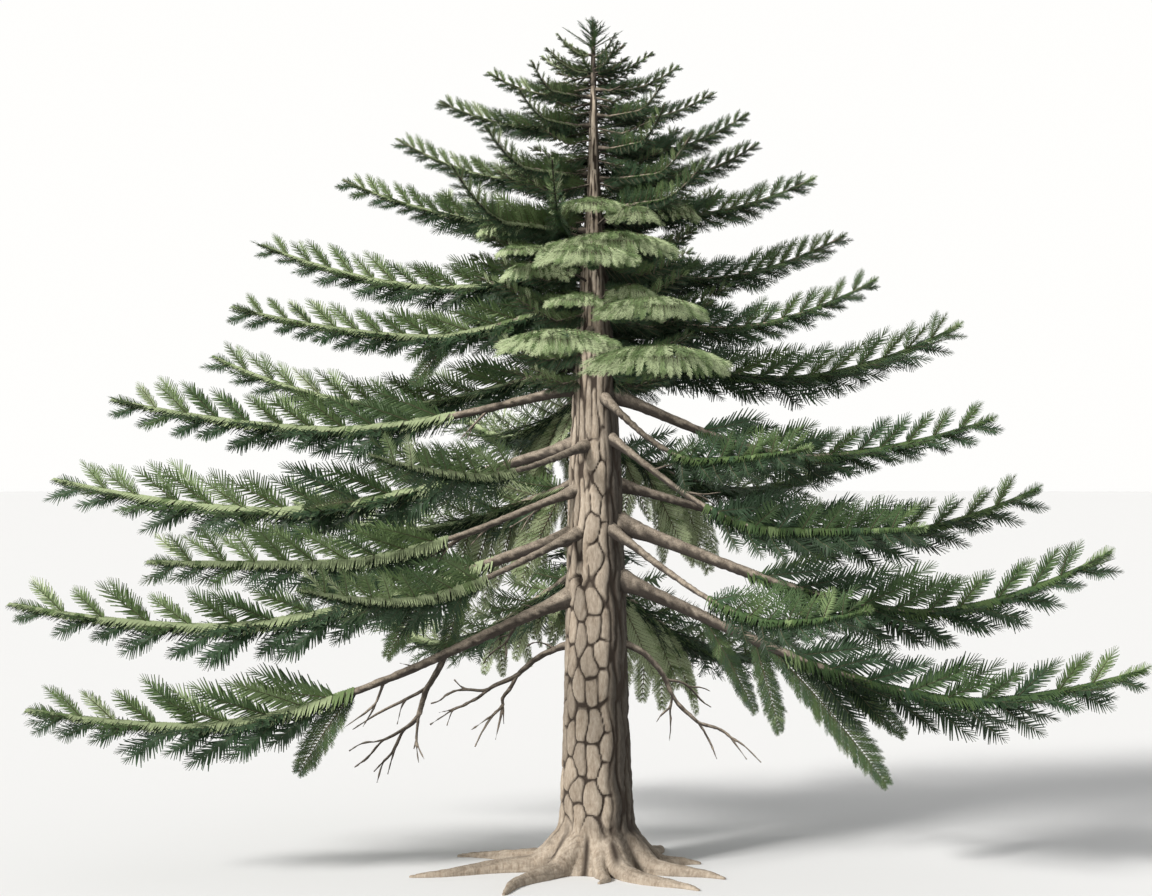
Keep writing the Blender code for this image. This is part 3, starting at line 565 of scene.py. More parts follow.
def dress(line, first, clad=True):
    """Feathers at even stations along a stem, and a crossed pair at its tip."""
    run = LAST_SPRAY - first
    count = max(3, round(run * line.reach / blend(STATION_RUN, line.reach)))
    rightward = line.heading.x > 0
    # Painted light on boughs heading away from the viewer, and painted shade on the right, the
    # side away from the sun
    base = SPRAY_LIT + blend(FACING_LIT, line.heading.y) - SHADE_SIDE * rightward
    for number in range(count):
        sides = SIDE_ROLLS if number % 2 and line.heading.y > SIDES_FROM else ()
        for later, rolls in ((0.0, UP_ROLLS), (0.5, DOWN_ROLLS), (0.25, sides)):
            along = min(1.0, (number + 0.25 + later + jitter(0.13)) / count)
            share = first + run * along
            full = spray_length(line.reach, along) * uniform(0.82, 1.1)
            for roll, stretch in rolls:
                # Painted light on feathers that stand up; those further out are paler, for young
                # growth and painted light
                lit = base + 0.24 * sin(radians(roll)) + 0.22 * (along - 0.4)
                grow_spray(line, share, roll + jitter(7), full * stretch * uniform(0.94, 1.06),
                           blend(SPRAY_OPEN, along), lit, 2 if stretch > 1.2 else 0,
                           BARE_SHARE * clad_half(line, share) if clad else 0.0)
    along, side, up = line.frame(0.99)
    length = spray_length(line.reach, 1.0)
    start = line.point(1.0) - along * (TIP_BACK[rightward] * length)
    for face in (side, up):
        grow_feather(pick_green(0.7), start, along, face, length, feather_half(length), up * 0.05)
    if clad:
        clad_stem(line, first - 0.01)


def limb_stick(line, first, clear):
    """A bough's own wood, from inside the trunk, swollen where it leaves it."""
    count = max(4, round((1.0 - first) * line.reach / LIMB_RUN))
    points, radii = [], []
    for index in range(count + 1):
        share = first + (1.0 - first) * index / count
        past = max(0.0, share * line.reach - clear)
        points.append(line.point(share))
        radii.append(line.radius(share) * (1.0 + COLLAR_SWELL * exp(-past / COLLAR_FADE)))
    limb_sticks.append((points, radii))


def thin_stick(line, *radii):
    limb_sticks.append(([line.point(share) for share in (0.0, 0.5, 1.0)], radii))


def grow_bough(bough):
    """A bough and its forks, each with its wood and its foliage."""
    clear = trunk_radius(bough.foot)
    first = bough.bare + 0.02 if bough.bare else (clear + FOLIAGE_CLEAR) / bough.reach
    arms = [(LINES[bough.name], FOOT_INSIDE * clear / bough.reach, first, PAD_SHARE[0])]
    arms += [(fork_line(bough, number, turn), 0.0, 0.04, PAD_SHARE[1])
             for number, turn in enumerate(bough.forks)]
    seed(f"{bough.name} needles")
    for arm, foot, first, pad_share in arms:
        limb_stick(arm, foot, clear)
        if bough.kind == "pad":
            grow_pad_arm(arm, pad_share)
        else:
            dress(arm, first)


def grow_pad_arm(arm, pad_share):
    """Two drooping pads on a bough, the larger at its tip."""
    half = pad_share * arm.reach
    for share, size in ((0.98, half), (1.0 - 1.5 * pad_share, 0.6 * half)):
        grow_pad(arm.point(share) + UP * (PAD_RISE * size), arm.heading, size, PAD_DROOP * size)
    clad_stem(arm, 0.25)


def grow_pad(middle, heading, half, droop):
    """A drooping umbrella round the end of a stem that points outward."""
    aim = degrees(atan2(heading.y, heading.x))
    count = max(4, round(half / PAD_RUN))
    for number in range(count):
        place = number / (count - 1)
        spot = middle + heading * (half * (place - 0.9)) - UP * (0.1 * droop)
        reach = 0.95 * half * (1.0 - 0.5 * place ** 2)
        spread = PAD_TURNS[0] + (PAD_TURNS[1] - PAD_TURNS[0]) * place
        for hand in (-1, 1):
            # Painted light: pale greens for the whole dome of the pad
            outward = level(aim + hand * (spread + jitter(6)))
            grow_feather(pick_green(0.8), spot, outward + UP * 0.08, UP + outward * 0.2,
                         reach * uniform(0.85, 1.0), PAD_FEATHER,
                         UP * (-0.55 * droop / reach - 0.08))
    grow_skirt(middle, heading, half, droop)


def grow_skirt(middle, heading, half, droop):
    """Rows of short fingers that fan down from the front edge of a pad."""
    side = heading.cross(UP)
    count = 2 * round(half / FINGER_GAP)
    for row, lit in enumerate(FINGER_ROWS_LIT):
        for number in range(count + 1):
            share = 2 * number / count - 1 + jitter(0.04)
            spot = middle + side * (0.85 * half * share)
            spot += heading * (half * (0.2 - 0.6 * share ** 2) + 0.06 * row)
            spot.z -= droop * (0.5 * share ** 2 + 0.26 * row) + 0.03
            tip = radians(72 - 56 * abs(share) + jitter(9))
            outward = side * share + heading * (0.7 - 0.5 * abs(share))
            run = outward.normalized() * cos(tip) - UP * sin(tip)
            grow_feather(pick_green(lit), spot, run, heading + UP * 0.4,
                         droop * FINGER_SHARE * uniform(0.8, 1.15), FINGER_HALF, UP * -0.15)


def grow_lone_pad(pad):
    """A pad on a thin stem of its own that rises out of the trunk."""
    seed(f"{pad} pad")
    middle = Vector((pad.x, pad.y, pad.top))
    start = trunk_axis(pad.top - 0.3)
    stem = [start, start.lerp(middle, 0.5) + UP * 0.12, middle]
    limb_sticks.append(rounded(stem, (0.03, 0.02, 0.008)))
    grow_pad(middle, Vector((pad.x - start.x, pad.y, 0)).normalized(), pad.half, pad.droop)


def grow_plume(lit, spot, run, face, length, half, step):
    """A hanging branchlet: a rib with even side feathers."""
    run = run.normalized()
    sag = UP * (-0.15 * length)
    count = round(length / step)
    for number in range(count):
        share = (number + 0.5) / count
        place = spot + run * (length * share) + sag * share ** 2
        reach = half * blend(PLUME_OUTLINE, share) / sin(radians(PLUME_OPEN))
        green = pick_green(lit)
        for hand in (-1, 1):
            turn = radians(hand * (PLUME_OPEN + jitter(5)))
            grow_feather(green, place, Matrix.Rotation(turn, 3, face) @ run, face,
                         reach * uniform(0.85, 1.1), PLUME_FEATHER, sag * 0.1)
    points = [spot, spot + run * (length / 2) + sag / 4, spot + run * length + sag]
    rib_sticks.append((points, (0.018, 0.012, 0.004)))


def grow_hanging(name, length):
    """Plumes on the inner part of a bough at the back."""
    seed(f"{name} plumes")
    line = LINES[name]
    for share in HANGING_SHARES:
        along, side, _ = line.frame(share)
        for hand in (-1, 1):
            run = along * uniform(0.1, 0.5) + side * (hand * uniform(0.2, 0.6)) - UP
            size = length * uniform(0.75, 1.1)
            grow_plume(HANGING_LIT, line.point(share), run,
                       level(uniform(215, 325)) + UP * 0.2, size,
                       HANGING_HALF * size, HANGING_STEP)


def grow_leader():
    """The top shoot above the trunk, with its whorls of short shoots."""
    seed("leader needles")
    foot, top = trunk_axis(TRUNK_TOP - 0.1), trunk_axis(TREE_TOP - 0.05)
    shares = [index / 12 for index in range(13)]
    limb_sticks.append(([foot.lerp(top, share) for share in shares],
                        [0.052 * (1 - share) ** 0.8 + 0.006 for share in shares]))
    for height, count, length, rise, first in LEADER_WHORLS:
        for number in range(count * 2):
            azimuth = first + 180 * number / count + jitter(8)
            run = (level(azimuth) + UP * rise).normalized()
            reach = length * (0.6 if number % 2 else 0.95)
            shoot = Line(trunk_axis(height + 0.03 * (number % 3)), azimuth,
                         reach * run.xy.length, drop=0.0, lift=reach * run.z, low=0.3,
                         girth=0.012)
            if reach > DRESSED_SHOOT:
                dress(shoot, 0.15)
                thin_stick(shoot, 0.014, 0.009, 0.004)
            else:
                grow_feather(pick_green(0.45), shoot.start, run, top_face(run), reach,
                             SHOOT_HALF, UP * 0.1)
    grow_feather(pick_green(0.5), trunk_axis(TREE_TOP - 0.34), UP, Vector((0, -1, 0)), 0.33,
                 SHOOT_HALF, Vector())


def grow_collar():
    """Shoots that leave the upper trunk itself, at its sides and back."""
    seed("collar")
    height = INFILL_FOOT
    while height < COLLAR_TOP:
        for number in range(COLLAR_SHOOTS):
            turn = COLLAR_TURN * (number + chance.random()) / COLLAR_SHOOTS
            heading = level(COLLAR_FIRST + turn)
            run = heading + UP * uniform(-0.1, 0.5)
            length = COLLAR_REACH * uniform(0.8, 1.2)
            spot = trunk_axis(height) + heading * (0.5 * trunk_radius(height))
            grow_feather(pick_green(0.36), spot, run, top_face(run).normalized(), length,
                         0.16 * length, UP * -0.12)
        height += COLLAR_STEP


def grow_infill():
    """Short boughs between the whorls, round the sides and back."""
    seed("infill")
    height = INFILL_FOOT
    while height < INFILL_TOP:
        for azimuth in INFILL_AZIMUTHS:
            reach = blend(INFILL_REACH, height) * uniform(0.8, 1.1)
            foot = trunk_axis(height + jitter(0.15))
            arm = Line(foot, azimuth + jitter(16), reach, drop=0.12 * reach,
                       lift=0.2 * reach, low=0.5, girth=0.03)
            thin_stick(arm, 0.02, 0.014, 0.006)
            dress(arm, 0.07, clad=False)
        height += INFILL_STEP


def rounded(points, radii):
    """The same path with its corners cut twice."""
    for _ in range(2):
        cut = [(a.lerp(b, share), p + (q - p) * share)
               for a, b, p, q in zip(points, points[1:], radii, radii[1:])
               for share in (0.25, 0.75)]
        points = [points[0], *(point for point, _ in cut), points[-1]]
        radii = [radii[0], *(radius for _, radius in cut), radii[-1]]
    return points, radii


def wood_beyond(run):
    """Length of a run of dead wood and of all that goes on from it."""
    return run[1] + sum(wood_beyond(after) for after in run[2:])


def dead_radius(run):
    return DEAD_TIP + DEAD_THICK * sqrt(wood_beyond(run))


def grow_dead(path, radii, azimuth, run):
    """Dead wood from run to run, with the twigs that fork off where a run ends."""
    while run:
        down, length, *after = run
        azimuth += jitter(DEAD_SWING)
        tip = radians(down)
        heading = level(azimuth) * cos(tip) - UP * sin(tip)
        path.append(path[-1] + heading * length)
        radii.append(dead_radius(after[0]) if after else DEAD_TIP)
        for side in after[1:]:
            thick = dead_radius(side)
            grow_dead([path[-2].lerp(path[-1], 0.5), path[-1]], [thick, thick], azimuth, side)
        run = after[0] if after else None
    limb_sticks.append(rounded(path, radii))


def grow_dead_limb(name, azimuth, height, runs):
    """A dead limb with a swollen foot inside the trunk."""
    seed(name)
    foot, clear, thick = trunk_axis(height), trunk_radius(height), dead_radius(runs)
    path = [foot + level(azimuth) * (share * clear) for share in (0.4, 1.0)]
    path[0].z += 0.03
    grow_dead(path, [1.9 * thick, 1.35 * thick], azimuth, runs)


def grow_dead_twig(name, share, azimuth, runs):
    seed(f"{name} {share} twig")
    grow_dead([LINES[name].point(share)], [1.2 * dead_radius(runs)], azimuth, runs)


def put(name, data):
    """A new object in the scene, at the origin."""
    thing = bpy.data.objects.new(name, data)
    bpy.context.scene.collection.objects.link(thing)
    return thing


def new_mesh(name, corners=(), edges=(), faces=()):
    mesh = bpy.data.meshes.new(name)
    mesh.from_pydata(corners, edges, faces)
    return mesh


def written(form, mesh):
    """Writes a bmesh form into a mesh and frees it."""
    form.to_mesh(mesh)
    form.free()
    return mesh


def plug(tree, socket, value):
    """Fills a socket, or joins it to a socket or to a node's first output."""
    if isinstance(value, bpy.types.Node):
        value = value.outputs[0]
    if isinstance(value, bpy.types.NodeSocket):
        tree.links.new(value, socket)
    else:
        socket.default_value = value


def node(tree, kind, inputs=None, **settings):
    """A node of the tree's own kind, with its settings made and its inputs filled."""
    made = tree.nodes.new(kind if "Node" in kind else tree.bl_idname[:-4] + kind)
    for name, value in settings.items():
        setattr(made, name, value)
    for name, value in (inputs or {}).items():
        plug(tree, made.inputs[name], value)
    return made


def new_tree(name, kind, inputs, outputs):
    """An empty node group, and the sockets of its start and its end."""
    tree = bpy.data.node_groups.new(name, kind)
    for in_out, sockets in (("INPUT", inputs), ("OUTPUT", outputs)):
        for label, socket in sockets.items():
            tree.interface.new_socket(label, in_out=in_out, socket_type="NodeSocket" + socket)
    return tree, tree.nodes.new("NodeGroupInput").outputs, tree.nodes.new("NodeGroupOutput").inputs


def named(tree, name, data_type):
    return node(tree, "InputNamedAttribute", {"Name": name}, data_type=data_type)


def geometry_tree(name, inputs, build):
    """A node group that builds on a mesh and sets a material."""
    tree, given, end = new_tree(
        name, "GeometryNodeTree", {"Geometry": "Geometry", **inputs, "Material": "Material"},
        {"Geometry": "Geometry"})
    plug(tree, end["Geometry"], node(tree, "SetMaterial", {
        "Geometry": build(tree, given), "Material": given["Material"]}))
    return tree


def build_sticks(tree, given):
    """Turns edges into round tapering wood."""
    curve = node(tree, "MeshToCurve", {"Mesh": given["Geometry"]})
    ring = node(tree, "CurvePrimitiveCircle", {"Resolution": given["Sides"], "Radius": 1.0})
    skin = node(tree, "CurveToMesh", {
        "Curve": curve, "Profile Curve": ring, "Scale": named(tree, "thick", "FLOAT"),
        "Fill Caps": True})
    return node(tree, "SetShadeSmooth", {"Geometry": skin})


def build_needles(tree, given):
    """Stands a comb of needles on each point, turned and sized by its attributes."""
    points = node(tree, "MeshToPoints", {"Mesh": given["Geometry"]})
    turn = node(tree, "FunctionNodeAxesToRotation", {
        "Primary Axis": named(tree, "run", "FLOAT_VECTOR"),
        "Secondary Axis": named(tree, "face", "FLOAT_VECTOR"),
    }, primary_axis="X", secondary_axis="Z")
    combs = node(tree, "CollectionInfo", {
        "Collection": given["Combs"], "Separate Children": True, "Reset Children": True})
    stood = node(tree, "InstanceOnPoints", {
        "Points": points, "Instance": combs, "Pick Instance": True, "Rotation": turn,
        "Instance Index": named(tree, "comb", "INT"),
        "Scale": named(tree, "size", "FLOAT_VECTOR")})
    return node(tree, "RealizeInstances", {"Geometry": stood})


def grown(name, source, tree, **values):
    """Runs a node tree on a mesh and keeps the result as a plain mesh object."""
    thing = put(name + "_source", source)
    step = thing.modifiers.new("grow", "NODES")
    step.node_group = tree
    for item in tree.interface.items_tree:
        if item.in_out == "INPUT" and item.name in values:
            step[item.identifier] = values[item.name]
    made = settled(thing, name)
    left = made.data.attributes
    for label in ("run", "face", "size", "comb", "thick"):
        if label in left:
            left.remove(left[label])
    return made


def settled(thing, name):
    """The evaluated mesh of an object as a plain object in its place."""
    bpy.context.view_layer.update()
    graph = bpy.context.evaluated_depsgraph_get()
    mesh = bpy.data.meshes.new_from_object(thing.evaluated_get(graph))
    mesh.name = name
    bpy.data.objects.remove(thing, do_unlink=True)
    return put(name, mesh)


def add_values(mesh, name, values, kind="FLOAT"):
    field = "vector" if kind == "FLOAT_VECTOR" else "value"
    values = np.asarray(values, np.int32 if kind == "INT" else np.float32)
    mesh.attributes.new(name, kind, "POINT").data.foreach_set(field, values.ravel())


def point_arrays(mesh):
    """Places and normals of a mesh's points, a row for each."""
    arrays = []
    for field in ("co", "normal"):
        values = np.empty(len(mesh.vertices) * 3, np.float32)
        mesh.vertices.foreach_get(field, values)
        arrays.append(values.reshape(-1, 3))
    return arrays


def wood(name, sticks, sides, material):
    """One mesh of wood from many paths with their radii."""
    corners, edges, thick = [], [], []
    for points, radii in sticks:
        last = len(corners) + len(points) - 1
        edges += [(first, first + 1) for first in range(len(corners), last)]
        corners += points
        thick += radii
    mesh = new_mesh(name, corners, edges)
    add_values(mesh, "thick", thick)
    return grown(name, mesh, STICK_TREE, Sides=sides, Material=material)


def comb_mesh(name, comb):
    """Needles along a short run of rib on +X, each a folded blade of two faces."""
    corners, faces = [], []
    for number in range(comb.needles):
        share = (number + 0.5 + jitter(0.3)) / comb.needles
        opening = radians(comb.opening + jitter(5))
        length = NEEDLE_LONG * uniform(0.88, 1.04)
        if comb.tip:
            opening *= 1.0 - 0.75 * share ** 1.5
            length *= 1.0 - 0.65 * share
        roll = comb.side + jitter(comb.spread)
        roll = radians(180 - roll if number % 2 else roll)
        outward = Vector((0, cos(roll), sin(roll)))
        run = Vector((cos(opening), 0, 0)) + outward * sin(opening)
        if comb.lift:
            lean = Vector((0, -outward.z, outward.y))
        elif comb.foot:
            lean = outward
        else:
            lean = Vector((0, jitter(0.5), 1))
        across = run.cross(lean).normalized()
        foot = Vector((share * COMB_RUN, 0, comb.lift)) + outward * comb.foot
        wide = across * (0.5 * comb.slim * length)
        fold = across.cross(run) * (NEEDLE_FOLD * comb.slim * length)
        point = foot + run * length
        first = len(corners)
        corners += [foot - wide, foot + wide + fold, point + wide * NEEDLE_POINT,
                    point - wide * NEEDLE_POINT + fold]
        faces += [(first, first + 1, first + 2), (first, first + 2, first + 3)]
    return new_mesh(name, corners, faces=faces)


def make_combs():
    """A hidden collection with every comb of needles, in the order of COMB_LIST."""
    seed("combs")
    group = bpy.data.collections.new("combs")
    for number, comb in enumerate(COMB_LIST):
        name = f"comb_{number:02d}"
        group.objects.link(bpy.data.objects.new(name, comb_mesh(name, comb)))
    return group


STICK_TREE = geometry_tree("wood_along_edges", {"Sides": "Int"}, build_sticks)


def needle_pieces(materials):
    """One piece for each green: a point for each comb, then the needles on it."""
    combs = make_combs()
    tree = geometry_tree("needles_on_points", {"Combs": "Collection"}, build_needles)
    made = []
    for number, (name, rows) in enumerate(comb_rows.items(), 1):
        rows = np.array(rows, np.float32)
        mesh = new_mesh(f"{name}_{number}", rows[:, 0:3])
        for first, label in ((3, "run"), (6, "face"), (9, "size")):
            add_values(mesh, label, rows[:, first:first + 3], "FLOAT_VECTOR")
        add_values(mesh, "comb", rows[:, 12], "INT")
        made.append(grown(mesh.name, mesh, tree, Combs=combs, Material=materials[name]))
    return made


def push_out(mesh, points, normals, distances):
    moved = points + normals * distances[:, None]
    mesh.vertices.foreach_set("co", moved.astype(np.float32).ravel())
    mesh.update()


def roughen(mesh):
    """Fine relief on limb wood, and a mask of painted shade on its underside."""
    points, normals = point_arrays(mesh)
    lumps = np.array([noise.fractal(Vector(point) * LIMB_ROUGH, 1.0, 2.0, 3) for point in points])
    push_out(mesh, points, normals, LIMB_RELIEF * lumps)
    under = np.clip(0.78 - 1.6 * normals[:, 2] - 0.9 * lumps, 0.0, 0.95)
    add_values(mesh, "under", under)


def root_path(azimuth, reach, half):
    """Middle line and radii of a surface root, as in the solids, in many short runs."""
    bend = jitter(0.10) * reach
    wander = random.Random(f"{SEED} {azimuth} root").uniform(0, tau)
    points, radii = [], []
    for index in range(ROOT_RINGS):
        share = index / (ROOT_RINGS - 1)
        out = ROOT_START + (reach - ROOT_START) * share
        along = share ** 0.8
        rise = ROOT_RISE * max(0.0, (ROOT_KNEE - out) / (ROOT_KNEE - ROOT_START)) ** 1.4
        radius = half * (1.0 - along) ** 0.8 + 0.03
        shift = bend * sin(pi * along) + 0.09 * share * sin(9 * share + wander)
        spot = level(azimuth) * out + level(azimuth + 90) * shift
        points.append(spot + UP * (rise + 0.25 * radius))
        radii.append(radius)
    return points, radii


def shaft_mesh():
    """The trunk without its roots, with ridges that run down into them."""
    steps = range(int(TRUNK_TOP / SHAFT_STEP) + 1)
    corners = []
    for height in [-0.25, -0.1] + [SHAFT_STEP * index for index in steps]:
        axis = trunk_axis(height)
        fade = max(0.0, 1.0 - max(0.0, height) / RIDGE_TOP) ** 1.6
        for index in range(SHAFT_SIDES):
            turn = tau * index / SHAFT_SIDES
            ridges = sum(half * exp(-(remainder(turn - radians(azimuth), tau) / RIDGE_WIDE) ** 2)
                         for azimuth, _, half in ROOTS) if fade else 0.0
            radius = trunk_radius(max(0.0, height)) + fade * (0.45 * ridges - 0.05)
            corners.append((axis.x + radius * cos(turn), radius * sin(turn), height))
    grid = np.arange(len(corners)).reshape(-1, SHAFT_SIDES)
    after = np.roll(grid, -1, axis=1)
    faces = np.stack((grid[:-1], after[:-1], after[1:], grid[1:]), axis=-1)
    faces = faces.reshape(-1, 4).tolist() + [grid[0, ::-1].tolist(), grid[-1].tolist()]
    return new_mesh("shaft", corners, faces=faces)


def cells(u, v, wrap, tall, draw):
    """Distance to the nearest cell's middle, how much further the next is, and its value."""
    table = np.random.RandomState(draw).rand(wrap, CELL_ROWS, 3)
    base_u = np.floor(u)
    v = v + 0.5 * (base_u % 2)
    base_v = np.floor(v)
    first = second = np.full(u.shape, FAR)
    value = np.zeros(u.shape)
    for step_u in (-1, 0, 1):
        column = base_u + step_u
        shift = 0.5 * ((column % 2) - (base_u % 2))
        for step_v in (-2, -1, 0, 1, 2):
            row = base_v + step_v
            pick = table[column.astype(int) % wrap, row.astype(int) % CELL_ROWS]
            off_u = column + 0.5 + 0.5 * (pick[:, 0] - 0.5) - u
            off_v = row + 0.5 + 0.7 * (pick[:, 1] - 0.5) - v - shift
            gap = np.sqrt(off_u ** 2 + (tall * off_v) ** 2)
            closer = gap < first
            second = np.where(closer, first, np.minimum(second, gap))
            value = np.where(closer, pick[:, 2], value)
            first = np.minimum(first, gap)
    return first, second - first, value


def ramp(low, high, value):
    share = np.clip((value - low) / (high - low), 0.0, 1.0)
    return share * share * (3 - 2 * share)


def noise_field(points, scale):
    return np.array([noise.noise(Vector(point * scale)) for point in points])


def root_coordinates(points, roots):
    """Run along the nearest root, and angle round it, at each point."""
    best = np.full(len(points), FAR)
    along, around = np.zeros((2, len(points)))
    for number, (path, _) in enumerate(roots):
        run = 0.0
        for start, end in zip(path, path[1:]):
            direction = (end - start).normalized()
            away = points - np.array((start + end) / 2)
            gap = np.sqrt((away ** 2).sum(1))
            closer = gap < best
            angle = np.arctan2(away[:, 2], away @ np.array(direction.cross(UP)))
            along = np.where(closer, run + away @ np.array(direction), along)
            around = np.where(closer, angle + number, around)
            best = np.minimum(best, gap)
            run += (end - start).length
    return along, around


def valleys(turns):
    """How far each azimuth is from the nearest root, in radians."""
    return np.min([np.abs(np.remainder(turns - radians(azimuth) + pi, tau) - pi)
                   for azimuth, *_ in ROOTS], axis=0)


def knot_hole(points):
    """1 inside the small knot hole, 0 outside it."""
    spot = trunk_axis(KNOT_HEIGHT) + level(KNOT_AZIMUTH) * trunk_radius(KNOT_HEIGHT)
    away = (points - np.array(spot)) * np.array([1.0, 0.5, 0.75])
    return ramp(1.3 * KNOT_HALF, 0.7 * KNOT_HALF, np.sqrt((away ** 2).sum(1)))


def bark_relief(points, roots):
    """How far out the bark stands at each point, how dark it is for its furrows and for painted
    shade between the roots, and its tone with painted light and shade.
    """
    height = points[:, 2]
    across = points[:, 0] - TOP_SHIFT * height / TREE_TOP
    angle = np.arctan2(points[:, 1], across)
    turn = angle / tau + 0.5
    out = np.hypot(points[:, 1], across)
    wobble = noise_field(points, 1.7)
    fine = noise_field(points, 7.0)
    out_of_middle, gap, tint = cells(
        turn * PLATE_COLUMNS + 0.35 * wobble, height / PLATE_TALL + 0.08 * fine,
        PLATE_COLUMNS, PLATE_SQUEEZE, 11)
    plates = 0.8 * ramp(0.02, 0.17, gap) + 0.2 * ramp(0.1, 0.7, gap)
    plates *= 1 - 0.65 * ramp(*PLATE_ROUND, out_of_middle)
    _, gap, streak_tint = cells(turn * STREAK_COLUMNS + 0.5 * wobble,
                                height / STREAK_TALL + 0.12 * fine, STREAK_COLUMNS, 1.0, 12)
    streaks = ramp(0.02, 0.4, gap)
    upper = ramp(*STREAK_HEIGHT, height + 0.6 * wobble)
    shaded = ramp(*SHADED_SIDE, across / out + 0.12 * wobble) * ramp(0.1, 0.9, height)
    flank = ramp(*FLANK_SIDE, 0.12 * wobble - across / out)
    streaky = np.maximum(np.maximum(upper, shaded), flank * ramp(*FLANK_HEIGHT, height))
    plates += (streaks - plates) * streaky
    tint += (streak_tint - tint) * streaky
    along, around = root_coordinates(points, roots)
    _, gap, root_tint = cells(around * 1.7 + 30 + 0.3 * wobble, along / 1.3 + 30, 64, 1.0, 13)
    grain = 0.6 + 0.4 * ramp(0.02, 0.35, gap)
    rooty = ramp(*ROOTY_HEIGHT, height + 0.3 * wobble)
    # Painted shade between the roots where they meet the trunk, kept with the furrows
    painted_root_shade = ramp(0.12, 0.3, valleys(angle)) * rooty * ramp(1.35, 1.0, out)
    plates += (grain - plates) * rooty
    tint += (0.3 + 0.7 * root_tint - tint) * rooty
    hole = knot_hole(points)
    depth = PLATE_DEPTH * (1 - 0.6 * upper) * (1 - 0.5 * rooty)
    depth *= ramp(TRUNK_TOP, TRUNK_TOP - 4.0, height) * 0.85 + 0.15
    relief = depth * (plates - 0.6) + 0.012 * fine * (1 - upper) - 0.13 * hole
    furrow = np.maximum(np.maximum(1 - plates, hole), 0.9 * painted_root_shade)
    # Painted shade darkens the side away from the sun, and painted light brightens the top, which
    # the pads shade
    tint = (0.78 + 0.4 * tint) * (1 - 0.8 * shaded) * (1 + 0.35 * ramp(*PAINTED_LIGHT_TOP, height))
    return relief, furrow, tint


def make_trunk(material):
    """Trunk and roots in one skin with plated bark, cut flat at the ground."""
    chance.seed(SEED)
    roots = [root_path(*root) for root in ROOTS]
    skin = wood("root_skin", roots, ROOT_SIDES, material)
    form = bmesh.new()
    form.from_mesh(shaft_mesh())
    form.from_mesh(skin.data)
    bpy.data.objects.remove(skin, do_unlink=True)
    thing = put("trunk_form", written(form, new_mesh("trunk_form")))
    remesh = thing.modifiers.new("skin", "REMESH")
    remesh.mode = "VOXEL"
    remesh.voxel_size = VOXEL
    smooth = thing.modifiers.new("smooth", "SMOOTH")
    smooth.factor = 0.6
    smooth.iterations = 4
    trunk = settled(thing, "trunk_bark")
    mesh = trunk.data
    points, normals = point_arrays(mesh)
    relief, furrow, tint = bark_relief(points.astype(float), roots)
    add_values(mesh, "furrow", furrow)
    add_values(mesh, "tint", tint)
    push_out(mesh, points, normals, relief)
    cut_at_ground(mesh)
    mesh.materials.clear()
    mesh.materials.append(material)
    mesh.shade_smooth()
    return trunk


def cut_at_ground(mesh):
    form = bmesh.new()
    form.from_mesh(mesh)
    everything = form.verts[:] + form.edges[:] + form.faces[:]
    bmesh.ops.bisect_plane(form, geom=everything, plane_co=(0, 0, 0), plane_no=(0, 0, -1),
                           clear_outer=True)
    rim = [edge for edge in form.edges if edge.is_boundary]
    bmesh.ops.triangle_fill(form, edges=rim, use_beauty=True, normal=(0, 0, -1))
    written(form, mesh)


def new_material(name, colour, roughness):
    """A material, its tree and the inputs of its shader."""
    made = bpy.data.materials.new(name)
    made.use_nodes = True
    shader = made.node_tree.nodes["Principled BSDF"].inputs
    shader["Base Color"].default_value = (*colour, 1.0)
    shader["Roughness"].default_value = roughness
    shader["Metallic"].default_value = 0.0
    return made, made.node_tree, shader


def needle_material(name, colour):
    made, _, shader = new_material(name, colour, 0.55)
    shader["Specular IOR Level"].default_value = 0.35
    return made


def mix(tree, share, first, second):
    return node(tree, "Mix", {0: share, 6: first, 7: second}, data_type="RGBA").outputs[2]


def grain_group():
    """Two colours mottled by noise, and its height, on Object coordinates."""
    tree, given, end = new_tree(
        "bark_grain", "ShaderNodeTree",
        {"Scale": "Float", "Stretch": "Float", "Light": "Color", "Dark": "Color"},
        {"Color": "Color", "Height": "Float"})
    place = node(tree, "TexCoord").outputs["Object"]
    squeeze = node(tree, "CombineXYZ", {0: 1.0, 1: 1.0, 2: given["Stretch"]})
    squeezed = node(tree, "VectorMath", {0: place, 1: squeeze}, operation="MULTIPLY")
    times = node(tree, "Math", {0: given["Scale"], 1: 5.0}, operation="MULTIPLY")
    coarse, fine = [
        node(tree, "TexNoise", {
            "Vector": squeezed, "Scale": scale, "Detail": detail, "Roughness": roughness})
        for scale, detail, roughness in ((given["Scale"], 6.0, 0.65), (times, 4.0, 0.6))]
    both = node(tree, "Math", {0: coarse, 1: fine}, operation="ADD")
    spread = node(tree, "MapRange", {"Value": both, "From Min": 0.72, "From Max": 1.28})
    plug(tree, end["Color"], mix(tree, spread, given["Dark"], given["Light"]))
    plug(tree, end["Height"], both)
    return tree


def bark_material(name, colour, group, light, dark, scale, stretch, strength, distance):
    """A bark material with its bump, its tree, its shader's inputs and its grain."""
    made, tree, shader = new_material(name, colour, 0.9)
    grain = node(tree, "Group", {
        "Scale": scale, "Stretch": stretch, "Light": (*light, 1.0), "Dark": (*dark, 1.0),
    }, node_tree=group)
    plug(tree, shader["Normal"], node(tree, "Bump", {
        "Height": grain.outputs["Height"], "Strength": strength, "Distance": distance}))
    return made, tree, shader, grain


def mask(tree, name):
    return node(tree, "Attribute", attribute_name=name).outputs["Fac"]


